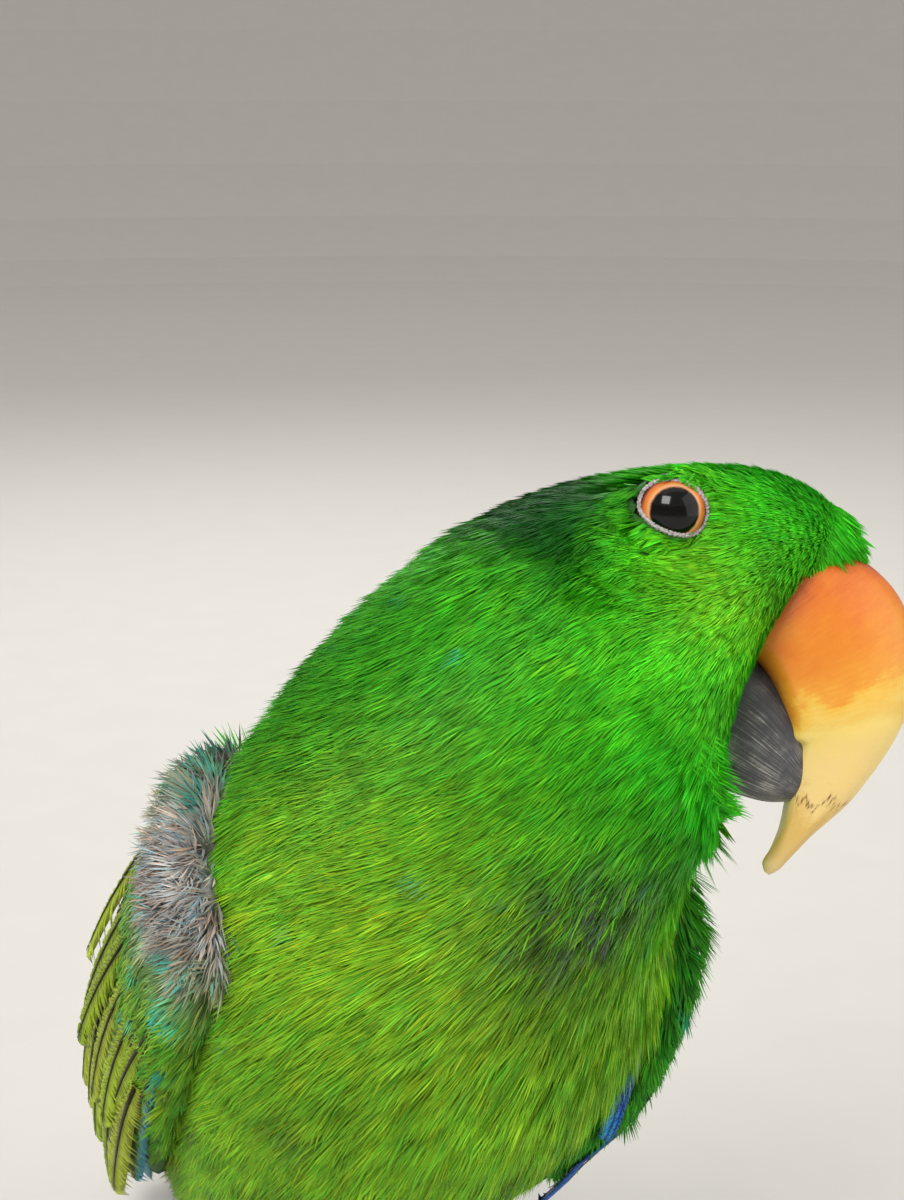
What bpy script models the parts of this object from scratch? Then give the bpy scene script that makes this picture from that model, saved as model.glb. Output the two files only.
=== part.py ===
"""An eclectus parrot at life size, standing on the floor, with its head turned to its left.

Sizes are in millimetres and are turned to metres when a mesh is made. The bird looks along -Y, its left
side is at +X, and the floor is the level z = 0. The flesh is one loft from tail to face, parted by thin cuts.
"""

import math
import random

import bmesh
import bpy
import numpy as np
from mathutils import Matrix, Vector

MM = 0.001
GAP = 0.3                       # space that touching pieces keep

# Head frame: forward, up and left of a head turned to its left, dipped and tilted
HEAD_PLACE = Vector((50.7, -38.2, 213.2))
HEAD_TURN = 70.6
HEAD_DIP = 19.3
HEAD_TILT = 15.9

# Eyes, in the head frame
EYE_FORWARD = -1.8
EYE_UP = -1.6
EYE_SIDE = 14.4                 # middle of the eyeball from the side plane
EYE_RADIUS = 5.0
EYE_OPENING = 4.3               # half width of the opening between the lids
LID_THICKNESS = 0.6
ORBIT_FLAT = 5.8                # radius of the flat ring round the eye, and where it fades into the head
ORBIT_RADIUS = 13.5
ORBIT_DEPTH = 2.5               # how far below the middle of the eyeball the flesh is still raised to the ring

# Flesh: back point, belly point, half width, height of the widest level (-1 belly to 1 back) and
# roundness, the exponent of the cross-section, where 2 is an ellipse
TRUNK = [
    ((5, 104, 35.5), (5, 102, 28.0), 15.0, 0.0, 2.3),
    ((4, 86, 46.5), (4, 80, 34.0), 15.0, 0.0, 2.2),
    ((3.5, 71, 59.5), (3.5, 64, 42.5), 14.0, 0.0, 2.1),
    ((3.0, 63, 74), (2.5, 47, 48), 19.5, 0.0, 2.1),
    ((6.5, 53, 99), (5.0, 20, 59), 27.5, 0.0, 2.1),
    ((12.5, 36, 125), (9.0, -13, 81), 34.5, -0.05, 2.1),
    ((16.5, 16.5, 151), (13.0, -40, 106), 40.5, -0.05, 2.1),
    ((18, 1.5, 176), (23, -53, 130), 41.5, 0.0, 2.1),
    ((11.5, -8.5, 193), (41, -53, 150), 36.0, 0.0, 2.1),
]
# The same for the head, as forward and up in the head frame
SKULL = [
    ((-31.0, -14.5), (22.5, -43.0), 29.0, 0.0, 2.1),
    ((-20.0, -3.5), (22.0, -39.5), 26.2, -0.05, 2.3),
    ((-7.1, 4.2), (19.5, -35.5), 23.2, -0.15, 2.9),
    ((6.4, 9.6), (17.3, -28.0), 20.4, -0.15, 2.9),
    ((15.4, 10.1), (17.4, -18.5), 16.2, -0.1, 2.5),
    ((22.2, 8.4), (19.6, -8.5), 10.6, 0.0, 2.1),
    ((25.6, 5.4), (22.8, -3.0), 6.5, 0.0, 2.0),
    ((27.0, 2.6), (26.0, 0.2), 2.0, 0.0, 2.0),
]
FLESH_SIDES = 36
RINGS_PER_STEP = 3
TAIL_CUT = 2.0                  # places of the cuts, counted in rows from the tail
NECK_CUT = 7.5
HEAD_CUT = 9.0

# Upper beak: ridge point, inner point, half width and level of the widest place
UPPER_BEAK = [
    ((14.0, 0.0), (10.0, -14.0), 8.4, -0.1, 2.3),
    ((21.0, 2.6), (13.5, -15.5), 9.8, -0.15, 2.3),
    ((28.5, 1.8), (16.8, -16.5), 10.4, -0.25, 2.3),
    ((34.6, -1.2), (20.2, -18.6), 10.2, -0.35, 2.3),
    ((38.9, -6.6), (23.0, -21.4), 9.4, -0.4, 2.3),
    ((41.0, -12.4), (25.2, -24.2), 8.3, -0.4, 2.3),
    ((41.4, -16.4), (25.9, -25.9), 7.4, -0.4, 2.3),
    ((41.4, -18.6), (27.7, -26.4), 6.8, -0.4, 2.3),
    ((40.6, -23.6), (28.0, -28.8), 5.8, -0.3, 2.3),
    ((38.2, -31.4), (29.4, -33.6), 4.3, -0.1, 2.2),
    ((34.9, -37.6), (30.1, -38.2), 3.0, 0.0, 2.1),
    ((32.4, -41.8), (30.4, -42.0), 1.5, 0.0, 2.0),
    ((31.4, -44.0), (30.9, -44.1), 0.35, 0.0, 2.0),
]
LOWER_BEAK = [
    ((6.0, -20.0), (9.0, -31.0), 7.0, 0.0, 2.4),
    ((12.5, -18.5), (13.0, -33.8), 8.2, 0.1, 2.4),
    ((19.0, -18.5), (19.0, -35.8), 8.8, 0.2, 2.4),
    ((25.0, -21.0), (25.5, -35.8), 8.0, 0.2, 2.4),
    ((28.5, -24.5), (29.4, -34.6), 6.2, 0.1, 2.4),
    ((31.0, -27.5), (31.4, -32.8), 3.2, 0.0, 2.4),
]
BEAK_SIDES = 14
NOSTRIL = (23.6, 6.6, 4.0)      # forward, up and side of each nostril
NOSTRIL_RADIUS = 1.1

# Wings: rows of the smooth form that a folded wing lies on, from the shoulder to the tips
WING_FORM = [
    ((15, -5, 187), (33, -55, 143), 35.5, 0.0, 2.1),
    ((18, 1, 175), (23, -53, 130), 40.5, 0.0, 2.1),
    ((16.5, 16.5, 151), (13, -40, 106), 41.5, 0.0, 2.1),
    ((12.5, 37, 126), (9, -13, 81), 37.5, 0.0, 2.1),
    ((7.5, 60, 100), (6, 22, 56), 29.5, 0.0, 2.1),
    ((5, 92, 76), (5, 70, 38), 22.0, 0.0, 2.1),
    ((5, 121, 58), (5, 106, 28), 16.0, 0.0, 2.1),
    ((5, 144, 44), (5, 134, 20), 12.0, 0.0, 2.1),
    ((5, 160, 34), (5, 152, 14), 8.0, 0.0, 2.1),
]
# Flesh of the folded wing: row of the form, lower edge and upper edge in degrees above the side, thickness
WING_FLESH = [
    (0.95, -2, 28, 2.0),
    (1.25, -18, 46, 6.5),
    (2.0, -27, 66, 6.5),
    (3.0, -26, 75, 4.6),
    (3.8, -18, 76, 3.0),
    (4.6, -2, 66, 1.6),
]
LEFT_WING_DROP = 12             # degrees that the left wing hangs lower along its front edge
LEFT_WING_OUT = 7.0             # how far the left wing's lower edge stands off the flank
# Tiers of wing feathers: count, then the lowest and the highest feather, each as row, degrees and height
# over the form at its root, the same at its tip, and half width
WING_TIERS = {
    "primary": (7, (4.35, -2, 0.4, 6.85, 34, 0.3, 5.4), (4.1, 36, 1.6, 5.75, 62, 4.6, 6.4)),
    "secondary": (6, (3.6, 6, 1.2, 5.35, 24, 3.2, 7.0), (3.3, 60, 2.2, 4.75, 74, 5.0, 7.6)),
    "primary_covert": (2, (3.1, -16, 1.8, 4.75, -4, 2.4, 4.6), (3.0, -4, 2.0, 4.5, 9, 3.2, 5.2)),
    "greater_covert": (5, (2.6, 0, 3.0, 3.95, 6, 3.9, 7.0), (2.3, 58, 3.8, 3.75, 66, 5.6, 7.6)),
    "median_covert": (5, (1.8, -10, 4.2, 2.95, -9, 5.4, 6.6), (1.6, 44, 4.6, 2.9, 58, 6.9, 7.4)),
    "alula": (2, (1.9, -22, 3.4, 3.4, -22, 4.4, 3.4), (1.75, -14, 4.0, 3.0, -13, 5.2, 3.8)),
}
LONGEST_PRIMARY = 0.35          # rows that the third primary from the edge is longer
# Feather outline: part of the length and part of the width there
VANE_SHAPE = [(0.0, 0.4), (0.3, 0.9), (0.66, 1.0), (0.9, 0.74), (1.0, 0.26)]
COVERT_SHAPE = [(0.0, 0.5), (0.45, 1.0), (0.85, 0.8), (1.0, 0.3)]
VANE_THICKNESS = 0.6
WING_ROLL = 13.0                # degrees that a feather's lower edge stands out over the next one

# Tail feathers, counted across, with the upper and lower coverts over their roots
TAIL_FEATHERS = 12
TAIL_ROOT = (4.6, 90, 42.0)
TAIL_TIP = (6.0, 163, 12.0)
TAIL_ROOT_SPACING = 1.7
TAIL_TIP_SPACING = 2.7
TAIL_STEP = 0.95                # each feather outwards lies lower by this
TAIL_HALF_WIDTH = 7.6
TAIL_SHAPE = [(0.0, 0.45), (0.35, 0.85), (0.93, 1.0), (1.0, 0.72)]
# Coverts: count, root and tip in the side plane, spacing at root and tip, half width
TAIL_COVERTS = [
    (4, (4.4, 80, 49.0), (5.2, 118, 34.0), 5.0, 7.5, 6.4),
    (4, (4.4, 76, 41.0), (5.2, 110, 25.0), 5.0, 7.5, 6.0),
]

# Legs and feet
STANCE = (13.5, 3.0)            # middle between the feet
FOOT_SIDE = 19.0                # each foot from there, sideways
TARSUS_TOP = 33.0
TOE_RADIUS = 3.5
# Toes: bearing from straight ahead (outwards is positive), length and claw length
TOES = [(14, 27, 11.5), (-20, 19, 9.5), (152, 24, 11.0), (-158, 14, 9.0)]
SOLE_DEPTH = 0.7                # how far the round toes reach below the floor before they are cut flat

COLOURS = {
    "head": (0.02, 0.42, 0.02),
    "neck": (0.03, 0.40, 0.02),
    "torso": (0.12, 0.42, 0.02),
    "tail": (0.05, 0.28, 0.08),
    "wing": (0.08, 0.33, 0.03),
    "thigh": (0.10, 0.38, 0.03),
    "foot": (0.16, 0.16, 0.17),
    "claw": (0.03, 0.03, 0.035),
    "eye": (0.02, 0.012, 0.01),
    "beak_upper": (0.87, 0.35, 0.06),
    "beak_lower": (0.04, 0.04, 0.045),
}


def material(name, roughness=0.6):
    """A plain material of the part's own colour."""
    made = bpy.data.materials.new(name)
    made.use_nodes = True
    shader = made.node_tree.nodes["Principled BSDF"]
    shader.inputs["Base Color"].default_value = (*COLOURS[name], 1.0)
    shader.inputs["Roughness"].default_value = roughness
    return made


def head_point(forward, up, side=0.0):
    """A place in the head frame; side is positive to the bird's left."""
    return HEAD_PLACE + HEAD_TURNED @ Vector((side, -forward, up))


def head_rows(rows):
    """Rows of the head frame as rows of world points."""
    return [(head_point(*top), head_point(*bottom), *rest) for top, bottom, *rest in rows]


def row_table(rows):
    """Rows as one array: back point, belly point, half width, level and roundness."""
    return np.array([[*back, *belly, *rest] for back, belly, *rest in rows], float)


def between(table, t):
    """A smooth curve through the rows of a table, read at row number t."""
    last = len(table) - 1
    t = min(max(t, 0.0), float(last))
    i = min(int(t), last - 1)
    f = t - i
    b, c = table[i], table[i + 1]
    a = table[i - 1] if i > 0 else 2 * b - c
    d = table[i + 2] if i + 2 <= last else 2 * c - b
    return b + 0.5 * f * (c - a + f * (2 * a - 5 * b + 4 * c - d + f * (3 * (b - c) + d - a)))


def unit(v):
    return v / np.linalg.norm(v)


def section(table, t):
    """Middle, half height vector, unit side vector (to the left), half width, level and roundness."""
    row = between(table, t)
    ahead = between(table, t + 0.02)
    behind = between(table, t - 0.02)
    along = (ahead[0:3] + ahead[3:6] - behind[0:3] - behind[3:6])
    middle = (row[0:3] + row[3:6]) / 2
    half = (row[0:3] - row[3:6]) / 2
    side = unit(np.cross(half, along))
    return middle, half, side, row[6], row[7], row[8]


def surface(table, t, angle):
    """A point of the lofted form: angle 0 is the left side, 90 degrees the back, 180 the right side."""
    middle, half, side, width, level, power = section(table, t)
    c, s = math.cos(angle), math.sin(angle)
    across = math.copysign(abs(c) ** (2 / power), c)
    high = math.copysign(abs(s) ** (2 / power), s)
    reach = 1 - level if high > 0 else 1 + level
    return middle + side * width * across + half * (level + reach * high)


def mesh_object(name, bm, key=None):
    """An object of a bmesh in millimetres, with outward faces and its own material."""
    bmesh.ops.recalc_face_normals(bm, faces=bm.faces)
    mesh = bpy.data.meshes.new(name)
    bmesh.ops.scale(bm, vec=Vector((MM, MM, MM)), verts=bm.verts)
    bm.to_mesh(mesh)
    bm.free()
    made = bpy.data.objects.new(name, mesh)
    bpy.context.scene.collection.objects.link(made)
    if key:
        mesh.materials.append(material(key) if key not in bpy.data.materials else bpy.data.materials[key])
    return made


def skin_rings(rings, split=False):
    """A closed bmesh over rings of points; split makes triangles that lie alike on opposite faces."""
    bm = bmesh.new()
    loops = [[bm.verts.new(p) for p in ring] for ring in rings]
    for near, far in zip(loops, loops[1:]):
        n = len(near)
        for i in range(n):
            j = (i + 1) % n
            if split and i >= n // 2:
                bm.faces.new((near[i], near[j], far[i]))
                bm.faces.new((near[j], far[j], far[i]))
            elif split:
                bm.faces.new((near[i], near[j], far[j]))
                bm.faces.new((near[i], far[j], far[i]))
            else:
                bm.faces.new((near[i], near[j], far[j], far[i]))
    bm.faces.new(list(reversed(loops[0])))
    bm.faces.new(loops[-1])
    return bm


def loft(table, start, end, steps, sides):
    """Rings of the lofted form from row start to row end."""
    angles = [2 * math.pi * (i + 0.5) / sides for i in range(sides)]
    rows = np.linspace(start, end, steps + 1)
    return [[surface(table, t, a) for a in angles] for t in rows]


def eased(rings, rounds):
    """The rings after each has moved towards the mean of its neighbours, which takes out creases."""
    grid = np.array(rings)
    for _ in range(rounds):
        grid[1:-1] = 0.5 * grid[1:-1] + 0.25 * (grid[:-2] + grid[2:])
    return [list(ring) for ring in grid]


def tube(points, radii, sides=12):
    """Rings round a smooth path, each turned as little as can be from the one before."""
    path = row_path(points)
    sizes = np.array(radii, float).reshape(-1, 1)
    count = 2 * (len(points) - 1)
    rings = []
    side = None
    for k in range(count + 1):
        t = k * (len(points) - 1) / count
        here = between(path, t)
        along = unit(between(path, t + 0.05) - between(path, t - 0.05))
        if side is None:
            side = np.cross(along, (0.3, 0.9, 0.1))
        side = unit(side - along * (side @ along))
        over = np.cross(side, along)
        r = float(between(sizes, t)[0])
        turn = [2 * math.pi * (i + 0.5) / sides for i in range(sides)]
        rings.append([here + r * (side * math.cos(a) + over * math.sin(a)) for a in turn])
    return rings


def row_path(points):
    return np.array([list(p) for p in points], float)


def grown(obj, amount, name="clearance"):
    """A copy of an object, pushed outwards along its normals, for cutting a neighbour clear of it."""
    copy = obj.copy()
    copy.data = obj.data.copy()
    copy.name = name
    bpy.context.scene.collection.objects.link(copy)
    bm = bmesh.new()
    bm.from_mesh(copy.data)
    bm.normal_update()
    shifts = [v.normal * amount * MM for v in bm.verts]
    for v, shift in zip(bm.verts, shifts):
        v.co += shift
    bm.to_mesh(copy.data)
    bm.free()
    return copy


def apply(obj):
    """Keep the mesh as its modifiers leave it."""
    depsgraph = bpy.context.evaluated_depsgraph_get()
    mesh = bpy.data.meshes.new_from_object(obj.evaluated_get(depsgraph))
    obj.modifiers.clear()
    obj.data = mesh


def combine(obj, others, operation):
    """One Boolean of an object with a set of closed meshes, which are removed afterwards.

    The MANIFOLD solver takes seconds where EXACT takes minutes on so many pieces.
    """
    group = bpy.data.collections.new("pieces")
    bpy.context.scene.collection.children.link(group)
    for other in others:
        group.objects.link(other)
    boolean = obj.modifiers.new("combine", "BOOLEAN")
    boolean.operation = operation
    boolean.operand_type = "COLLECTION"
    boolean.collection = group
    boolean.solver = "MANIFOLD"
    apply(obj)
    for other in others:
        bpy.data.objects.remove(other)
    bpy.data.collections.remove(group)
    keep_largest(obj)


def keep_largest(obj):
    """Drop every closed surface of the mesh but the largest."""
    bm = bmesh.new()
    bm.from_mesh(obj.data)
    bmesh.ops.remove_doubles(bm, verts=bm.verts, dist=0.0000001)
    left = set(bm.faces)
    shells = []
    while left:
        shell = [left.pop()]
        for face in shell:
            for edge in face.edges:
                for other in edge.link_faces:
                    if other in left:
                        left.remove(other)
                        shell.append(other)
        shells.append(shell)
    shells.sort(key=lambda shell: sum(f.calc_area() for f in shell))
    extra = [f for shell in shells[:-1] for f in shell]
    bmesh.ops.delete(bm, geom=extra, context="FACES")
    loose = [v for v in bm.verts if not v.link_faces]
    bmesh.ops.delete(bm, geom=loose, context="VERTS")
    bm.to_mesh(obj.data)
    bm.free()


def cut_plane(bm, place, normal):
    """Keep what lies behind a plane and close the cut."""
    geometry = bm.verts[:] + bm.edges[:] + bm.faces[:]
    cut = bmesh.ops.bisect_plane(bm, geom=geometry, plane_co=Vector(place), plane_no=Vector(normal),
                                 clear_outer=True)
    edges = [e for e in cut["geom_cut"] if isinstance(e, bmesh.types.BMEdge)]
    bmesh.ops.edgeloop_fill(bm, edges=edges)


def flatten_orbits(rings):
    """Turn the flesh round each eye into a flat ring that faces the eye's way."""
    for sign in (-1, 1):
        middle = np.array(head_point(EYE_FORWARD, EYE_UP, sign * EYE_SIDE))
        look = np.array(eye_direction(sign))
        rise = math.sqrt(EYE_RADIUS ** 2 - EYE_OPENING ** 2)
        for ring in rings:
            for i, p in enumerate(ring):
                height = float((p - middle) @ look)
                if height > -ORBIT_DEPTH:
                    away = np.linalg.norm(p - middle - look * height)
                    weight = min(max((ORBIT_RADIUS - away) / (ORBIT_RADIUS - ORBIT_FLAT), 0.0), 1.0)
                    weight = weight * weight * (3 - 2 * weight)
                    ring[i] = p + look * (rise - height) * weight


def eye_direction(sign):
    """The way an eye looks: out to the side, a little forward and up."""
    return (HEAD_TURNED @ Vector((sign, -0.07, 0.08))).normalized()


def flesh():
    """Tail root, torso, neck and head as one loft, parted by thin plane cuts."""
    table = row_table(TRUNK + head_rows(SKULL))
    last = len(table) - 1
    rings = eased(loft(table, 1.2, last, RINGS_PER_STEP * (last - 1), FLESH_SIDES), 3)
    flatten_orbits(rings)
    spans = {"torso": (TAIL_CUT, NECK_CUT), "neck": (NECK_CUT, HEAD_CUT), "head": (HEAD_CUT, None)}
    made = {}
    for name, (start, end) in spans.items():
        bm = skin_rings(rings)
        for row, way in ((start, -1), (end, 1)):
            if row is not None:
                middle, half, side = section(table, row)[:3]
                ahead = np.cross(side, half)
                ahead = unit(ahead) * way
                cut_plane(bm, middle - ahead * GAP / 2, ahead)
        made[name] = mesh_object(name, bm, name)
    return made, table


def ball(name, place, radius, key=None, segments=16, rings=10):
    bm = bmesh.new()
    bmesh.ops.create_uvsphere(bm, u_segments=segments, v_segments=rings, radius=radius)
    bmesh.ops.translate(bm, verts=bm.verts, vec=Vector(place))
    return mesh_object(name, bm, key)


def lid_ring(sign):
    """The lids as a rounded ring that lies on the eyeball, straighter along its lower edge."""
    middle = head_point(EYE_FORWARD, EYE_UP, sign * EYE_SIDE)
    look = Vector(eye_direction(sign))
    up = (HEAD_TURNED @ Vector((0, 0, 1)))
    ahead = look.cross(up).normalized()
    up = ahead.cross(look).normalized()
    rise = math.sqrt(EYE_RADIUS ** 2 - EYE_OPENING ** 2)
    rings = []
    steps, sides = 20, 6
    for k in range(steps):
        a = 2 * math.pi * k / steps
        lower = 0.86 if math.sin(a) < -0.5 else 1.0
        out = ahead * math.cos(a) + up * math.sin(a) * lower
        centre = middle + look * rise + out * (EYE_OPENING + LID_THICKNESS * 0.8)
        flat = out.normalized()
        rings.append([centre + flat * math.cos(b) * LID_THICKNESS * 1.25 + look * math.sin(b) * LID_THICKNESS
                      for b in (2 * math.pi * i / sides for i in range(sides))])
    bm = bmesh.new()
    loops = [[bm.verts.new(p) for p in ring] for ring in rings]
    for k in range(steps):
        near, far = loops[k], loops[(k + 1) % steps]
        for i in range(sides):
            j = (i + 1) % sides
            bm.faces.new((near[i], near[j], far[j], far[i]))
    return mesh_object("lid", bm)


def nostril(sign):
    """A small round pit's cutter."""
    forward, up, side = NOSTRIL
    place = head_point(forward, up, sign * side)
    return ball("pit", place, NOSTRIL_RADIUS, None, 10, 8)


def beak(name, rows):
    table = row_table(head_rows(rows))
    last = len(table) - 1
    rings = loft(table, 0, last, 2 * last, BEAK_SIDES)
    return mesh_object(name, skin_rings(rings), name)


def head_parts(head):
    """Eyes, lids, nostrils and the two halves of the beak, each in its socket."""
    upper = beak("beak_upper", UPPER_BEAK)
    lower = beak("beak_lower", LOWER_BEAK)
    combine(lower, [grown(upper, GAP)], "DIFFERENCE")
    lids = [lid_ring(sign) for sign in (-1, 1)]
    combine(head, lids, "UNION")
    cutters = [grown(upper, GAP), grown(lower, GAP)]
    for sign, word in ((1, "left"), (-1, "right")):
        place = head_point(EYE_FORWARD, EYE_UP, sign * EYE_SIDE)
        cutters.append(ball("socket", place, EYE_RADIUS + GAP))
        cutters.append(nostril(sign))
        ball("eye_" + word, place, EYE_RADIUS, "eye")
    combine(head, cutters, "DIFFERENCE")
    return upper, lower


def wing_point(form, sign, t, degrees, height):
    """A place over the wing form, height above it, on the left (sign 1) or right (sign -1)."""
    a = math.radians(180 - degrees if sign > 0 else degrees)
    here = surface(form, t, a)
    step = 0.02
    along = surface(form, t + step, a) - surface(form, t - step, a)
    round_it = surface(form, t, a + step) - surface(form, t, a - step)
    out = unit(np.cross(round_it, along))
    return here + out * height


def wing_flesh(sign, word):
    """The fleshy front of a folded wing: a smooth shell that lies on the flank."""
    form = row_table(WING_FORM)
    outline = np.array(WING_FLESH, float)
    last = len(outline) - 1
    steps, across = 2 * last, 8
    rings = []
    for k in range(steps + 1):
        t, low, high, thick = between(outline, k * last / steps)
        low -= wing_drop(sign, t)
        outer = []
        inner = []
        for i in range(across + 1):
            f = i / across
            bulge = math.sqrt(max(1 - (2 * f - 1) ** 4, 0.0))
            degrees = low + (high - low) * f
            lift = wing_out(sign, t) * (1 - f)
            outer.append(wing_point(form, sign, t, degrees, lift + thick * (0.3 + 0.7 * bulge)))
            inner.append(wing_point(form, sign, t, degrees, lift - 1.5 * min(1.0, thick / 4)))
        rings.append(outer + inner[::-1])
    return mesh_object("wing_" + word, skin_rings(rings), "wing")


def wing_drop(sign, t):
    """Degrees that the left wing's front edge hangs lower at a row of the form."""
    return LEFT_WING_DROP * math.sin(math.pi * min(max(t - 0.95, 0) / 5.0, 1.0)) if sign > 0 else 0.0


def wing_out(sign, t):
    """How far the left wing's lower edge stands off the flank at a row of the form."""
    return LEFT_WING_OUT * math.sin(math.pi * min(max(t - 2.6, 0) / 3.8, 1.0)) if sign > 0 else 0.0


def vane(spine, ups, half_width, roll, shape):
    """One feather: a thin tapered plate along the spine, its upper face looking along ups."""
    rings = []
    for k, (_, part) in enumerate(shape):
        along = spine[min(k + 1, len(spine) - 1)] - spine[max(k - 1, 0)]
        across = unit(np.cross(ups[k], along))
        up = unit(np.cross(along, across))
        tilt = math.radians(roll)
        out = (across * math.cos(tilt) + up * math.sin(tilt)) * half_width * part
        lift = (up * math.cos(tilt) - across * math.sin(tilt)) * VANE_THICKNESS / 2
        rings.append([spine[k] + out + lift, spine[k] - out + lift, spine[k] - out - lift, spine[k] + out - lift])
    return mesh_object("vane", skin_rings(rings, split=True))


def wing_vanes(sign, draw):
    """The tiers of feathers that lie over one another along a folded wing."""
    form = row_table(WING_FORM)
    vanes = []
    for tier, (count, lowest, highest) in WING_TIERS.items():
        for k in range(count):
            f = k / (count - 1)
            values = np.array(lowest) + (np.array(highest) - lowest) * f
            root, tip, width = values[:3], values[3:6], values[6]
            if tier == "primary":
                tip[0] += LONGEST_PRIMARY * math.exp(-((k - 2) / 1.6) ** 2)
            tip += (draw.uniform(-0.05, 0.05), draw.uniform(-1.0, 1.0), 0)
            shape = COVERT_SHAPE if tier.endswith("covert") else VANE_SHAPE
            spine = []
            ups = []
            for s, _ in shape:
                t, degrees, height = root + (tip - root) * s
                degrees -= wing_drop(sign, t) * (1 - f)
                height += wing_out(sign, t) * (1 - f)
                spine.append(wing_point(form, sign, t, degrees, height))
                ups.append(wing_point(form, sign, t, degrees, height + 1.0) - spine[-1])
            vanes.append(vane(spine, ups, width, -WING_ROLL * sign, shape))
    return vanes


def tail(table):
    """The tail: a short fleshy root, twelve feathers in a stack with the middle pair on top, and coverts."""
    core = mesh_object("tail", tail_core(table), "tail")
    vanes = []
    half = TAIL_FEATHERS // 2
    for k in range(TAIL_FEATHERS):
        out = k - half + 0.5
        level = abs(out) + (0.45 if out < 0 else 0.0)
        root = np.array(TAIL_ROOT) + (out * TAIL_ROOT_SPACING, 0, -TAIL_STEP * level)
        tip = np.array(TAIL_TIP) + (out * TAIL_TIP_SPACING, -0.5 * abs(out), -TAIL_STEP * level)
        vanes.append(straight_vane(root, tip, TAIL_HALF_WIDTH, 0.0, 1.5, TAIL_SHAPE))
    for side, (count, root, tip, near, far, width) in zip((1, -1), TAIL_COVERTS):
        for k in range(count):
            out = k - (count - 1) / 2
            drop = -0.9 * abs(out) * side
            start = np.array(root) + (out * near, 0, drop * 1.6)
            end = np.array(tip) + (out * far, -3.0 * abs(out), drop * 1.2)
            vanes.append(straight_vane(start, end, width, -8.0 * side * out / 2, 0.6 * side, COVERT_SHAPE))
    combine(core, vanes, "UNION")
    return core


def straight_vane(root, tip, width, roll, bow, shape):
    """A feather from root to tip with a slight bow, lying level from side to side."""
    spine = [root + (tip - root) * s + np.array((0, 0, bow * 4 * s * (1 - s))) for s, _ in shape]
    ups = [np.array((0, 0.4, 1.0))] * len(spine)
    return vane(spine, ups, width, roll, shape)


def tail_core(table):
    """The fleshy root of the tail, from the rump to inside the feathers."""
    bm = skin_rings(loft(table, 0, 2.6, 8, 24))
    middle, half, side = section(table, TAIL_CUT)[:3]
    ahead = unit(np.cross(side, half))
    cut_plane(bm, middle - ahead * GAP / 2, ahead)
    return bm


def leg(sign, word, torso):
    """Feathered thigh, then the tarsus and toes as one foot with claws, on flat soles."""
    x, y = STANCE[0] + sign * FOOT_SIDE, STANCE[1]
    thigh = mesh_object("thigh_" + word, skin_rings(tube(
        [(x - 7 * sign, y + 20, 82), (x - 5 * sign, y + 18, 66), (x - 2 * sign, y + 15, 50),
         (x, y + 12, 35), (x, y + 9, 26)], [12.5, 14.5, 12.5, 8.5, 5.4], 18)), "thigh")
    tarsus = mesh_object("foot_" + word, skin_rings(tube(
        [(x, y + 12, TARSUS_TOP), (x, y + 8, 22), (x, y + 3, 12), (x, y, 4.5)],
        [3.9, 3.8, 4.1, 4.8], 12)), "foot")
    toes = []
    claws = []
    for k, (bearing, length, claw_length) in enumerate(TOES):
        a = math.radians(bearing)
        way = Vector((sign * math.sin(a), -math.cos(a), 0))
        start = Vector((x, y, 0))
        level = TOE_RADIUS - SOLE_DEPTH
        path = [start + Vector((0, 0, 5.5)), start + way * (length * 0.45) + Vector((0, 0, level + 0.7)),
                start + way * (length * 0.8) + Vector((0, 0, level - 0.1)), start + way * length + Vector((0, 0, level))]
        sizes = [4.2, TOE_RADIUS, TOE_RADIUS * 0.97, TOE_RADIUS * 0.62]
        toes.append(mesh_object("toe", skin_rings(tube(path, sizes, 8))))
        root = start + way * (length - 3.0)
        claw_path = [root + Vector((0, 0, 3.2)), root + way * claw_length * 0.4 + Vector((0, 0, 4.9)),
                     root + way * claw_length * 0.8 + Vector((0, 0, 3.9)), root + way * claw_length + Vector((0, 0, 1.1))]
        claws.append(mesh_object("claw_%s_%d" % (word, k + 1), skin_rings(tube(claw_path, [1.7, 1.75, 1.1, 0.2], 6)),
                                 "claw"))
    combine(tarsus, toes, "UNION")
    floor = bmesh.new()
    bmesh.ops.create_cube(floor, size=1.0)
    bmesh.ops.scale(floor, vec=Vector((90, 90, 20)), verts=floor.verts)
    bmesh.ops.translate(floor, verts=floor.verts, vec=Vector((x, y, -10)))
    combine(tarsus, [mesh_object("floor", floor)] + [grown(claw, GAP) for claw in claws], "DIFFERENCE")
    combine(thigh, [grown(torso, GAP), grown(tarsus, GAP)], "DIFFERENCE")
    return thigh


def stand_in_middle():
    """Hang every piece on one empty, placed so that the bird stands over the middle of its own box."""
    pieces = [o for o in bpy.context.scene.objects if o.type == "MESH"]
    corners = np.array([v.co for o in pieces for v in o.data.vertices])
    low, high = corners.min(axis=0), corners.max(axis=0)
    root = bpy.data.objects.new("parrot", None)
    bpy.context.scene.collection.objects.link(root)
    root.location = (-(low[0] + high[0]) / 2, -(low[1] + high[1]) / 2, -low[2])
    for piece in pieces:
        spots = np.array([v.co for v in piece.data.vertices])
        middle = Vector((spots.min(axis=0) + spots.max(axis=0)) / 2)
        piece.data.transform(Matrix.Translation(-middle))
        piece.location = middle
        piece.parent = root
        piece.data.shade_smooth()
        piece.data.set_sharp_from_angle(angle=math.radians(40))


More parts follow.
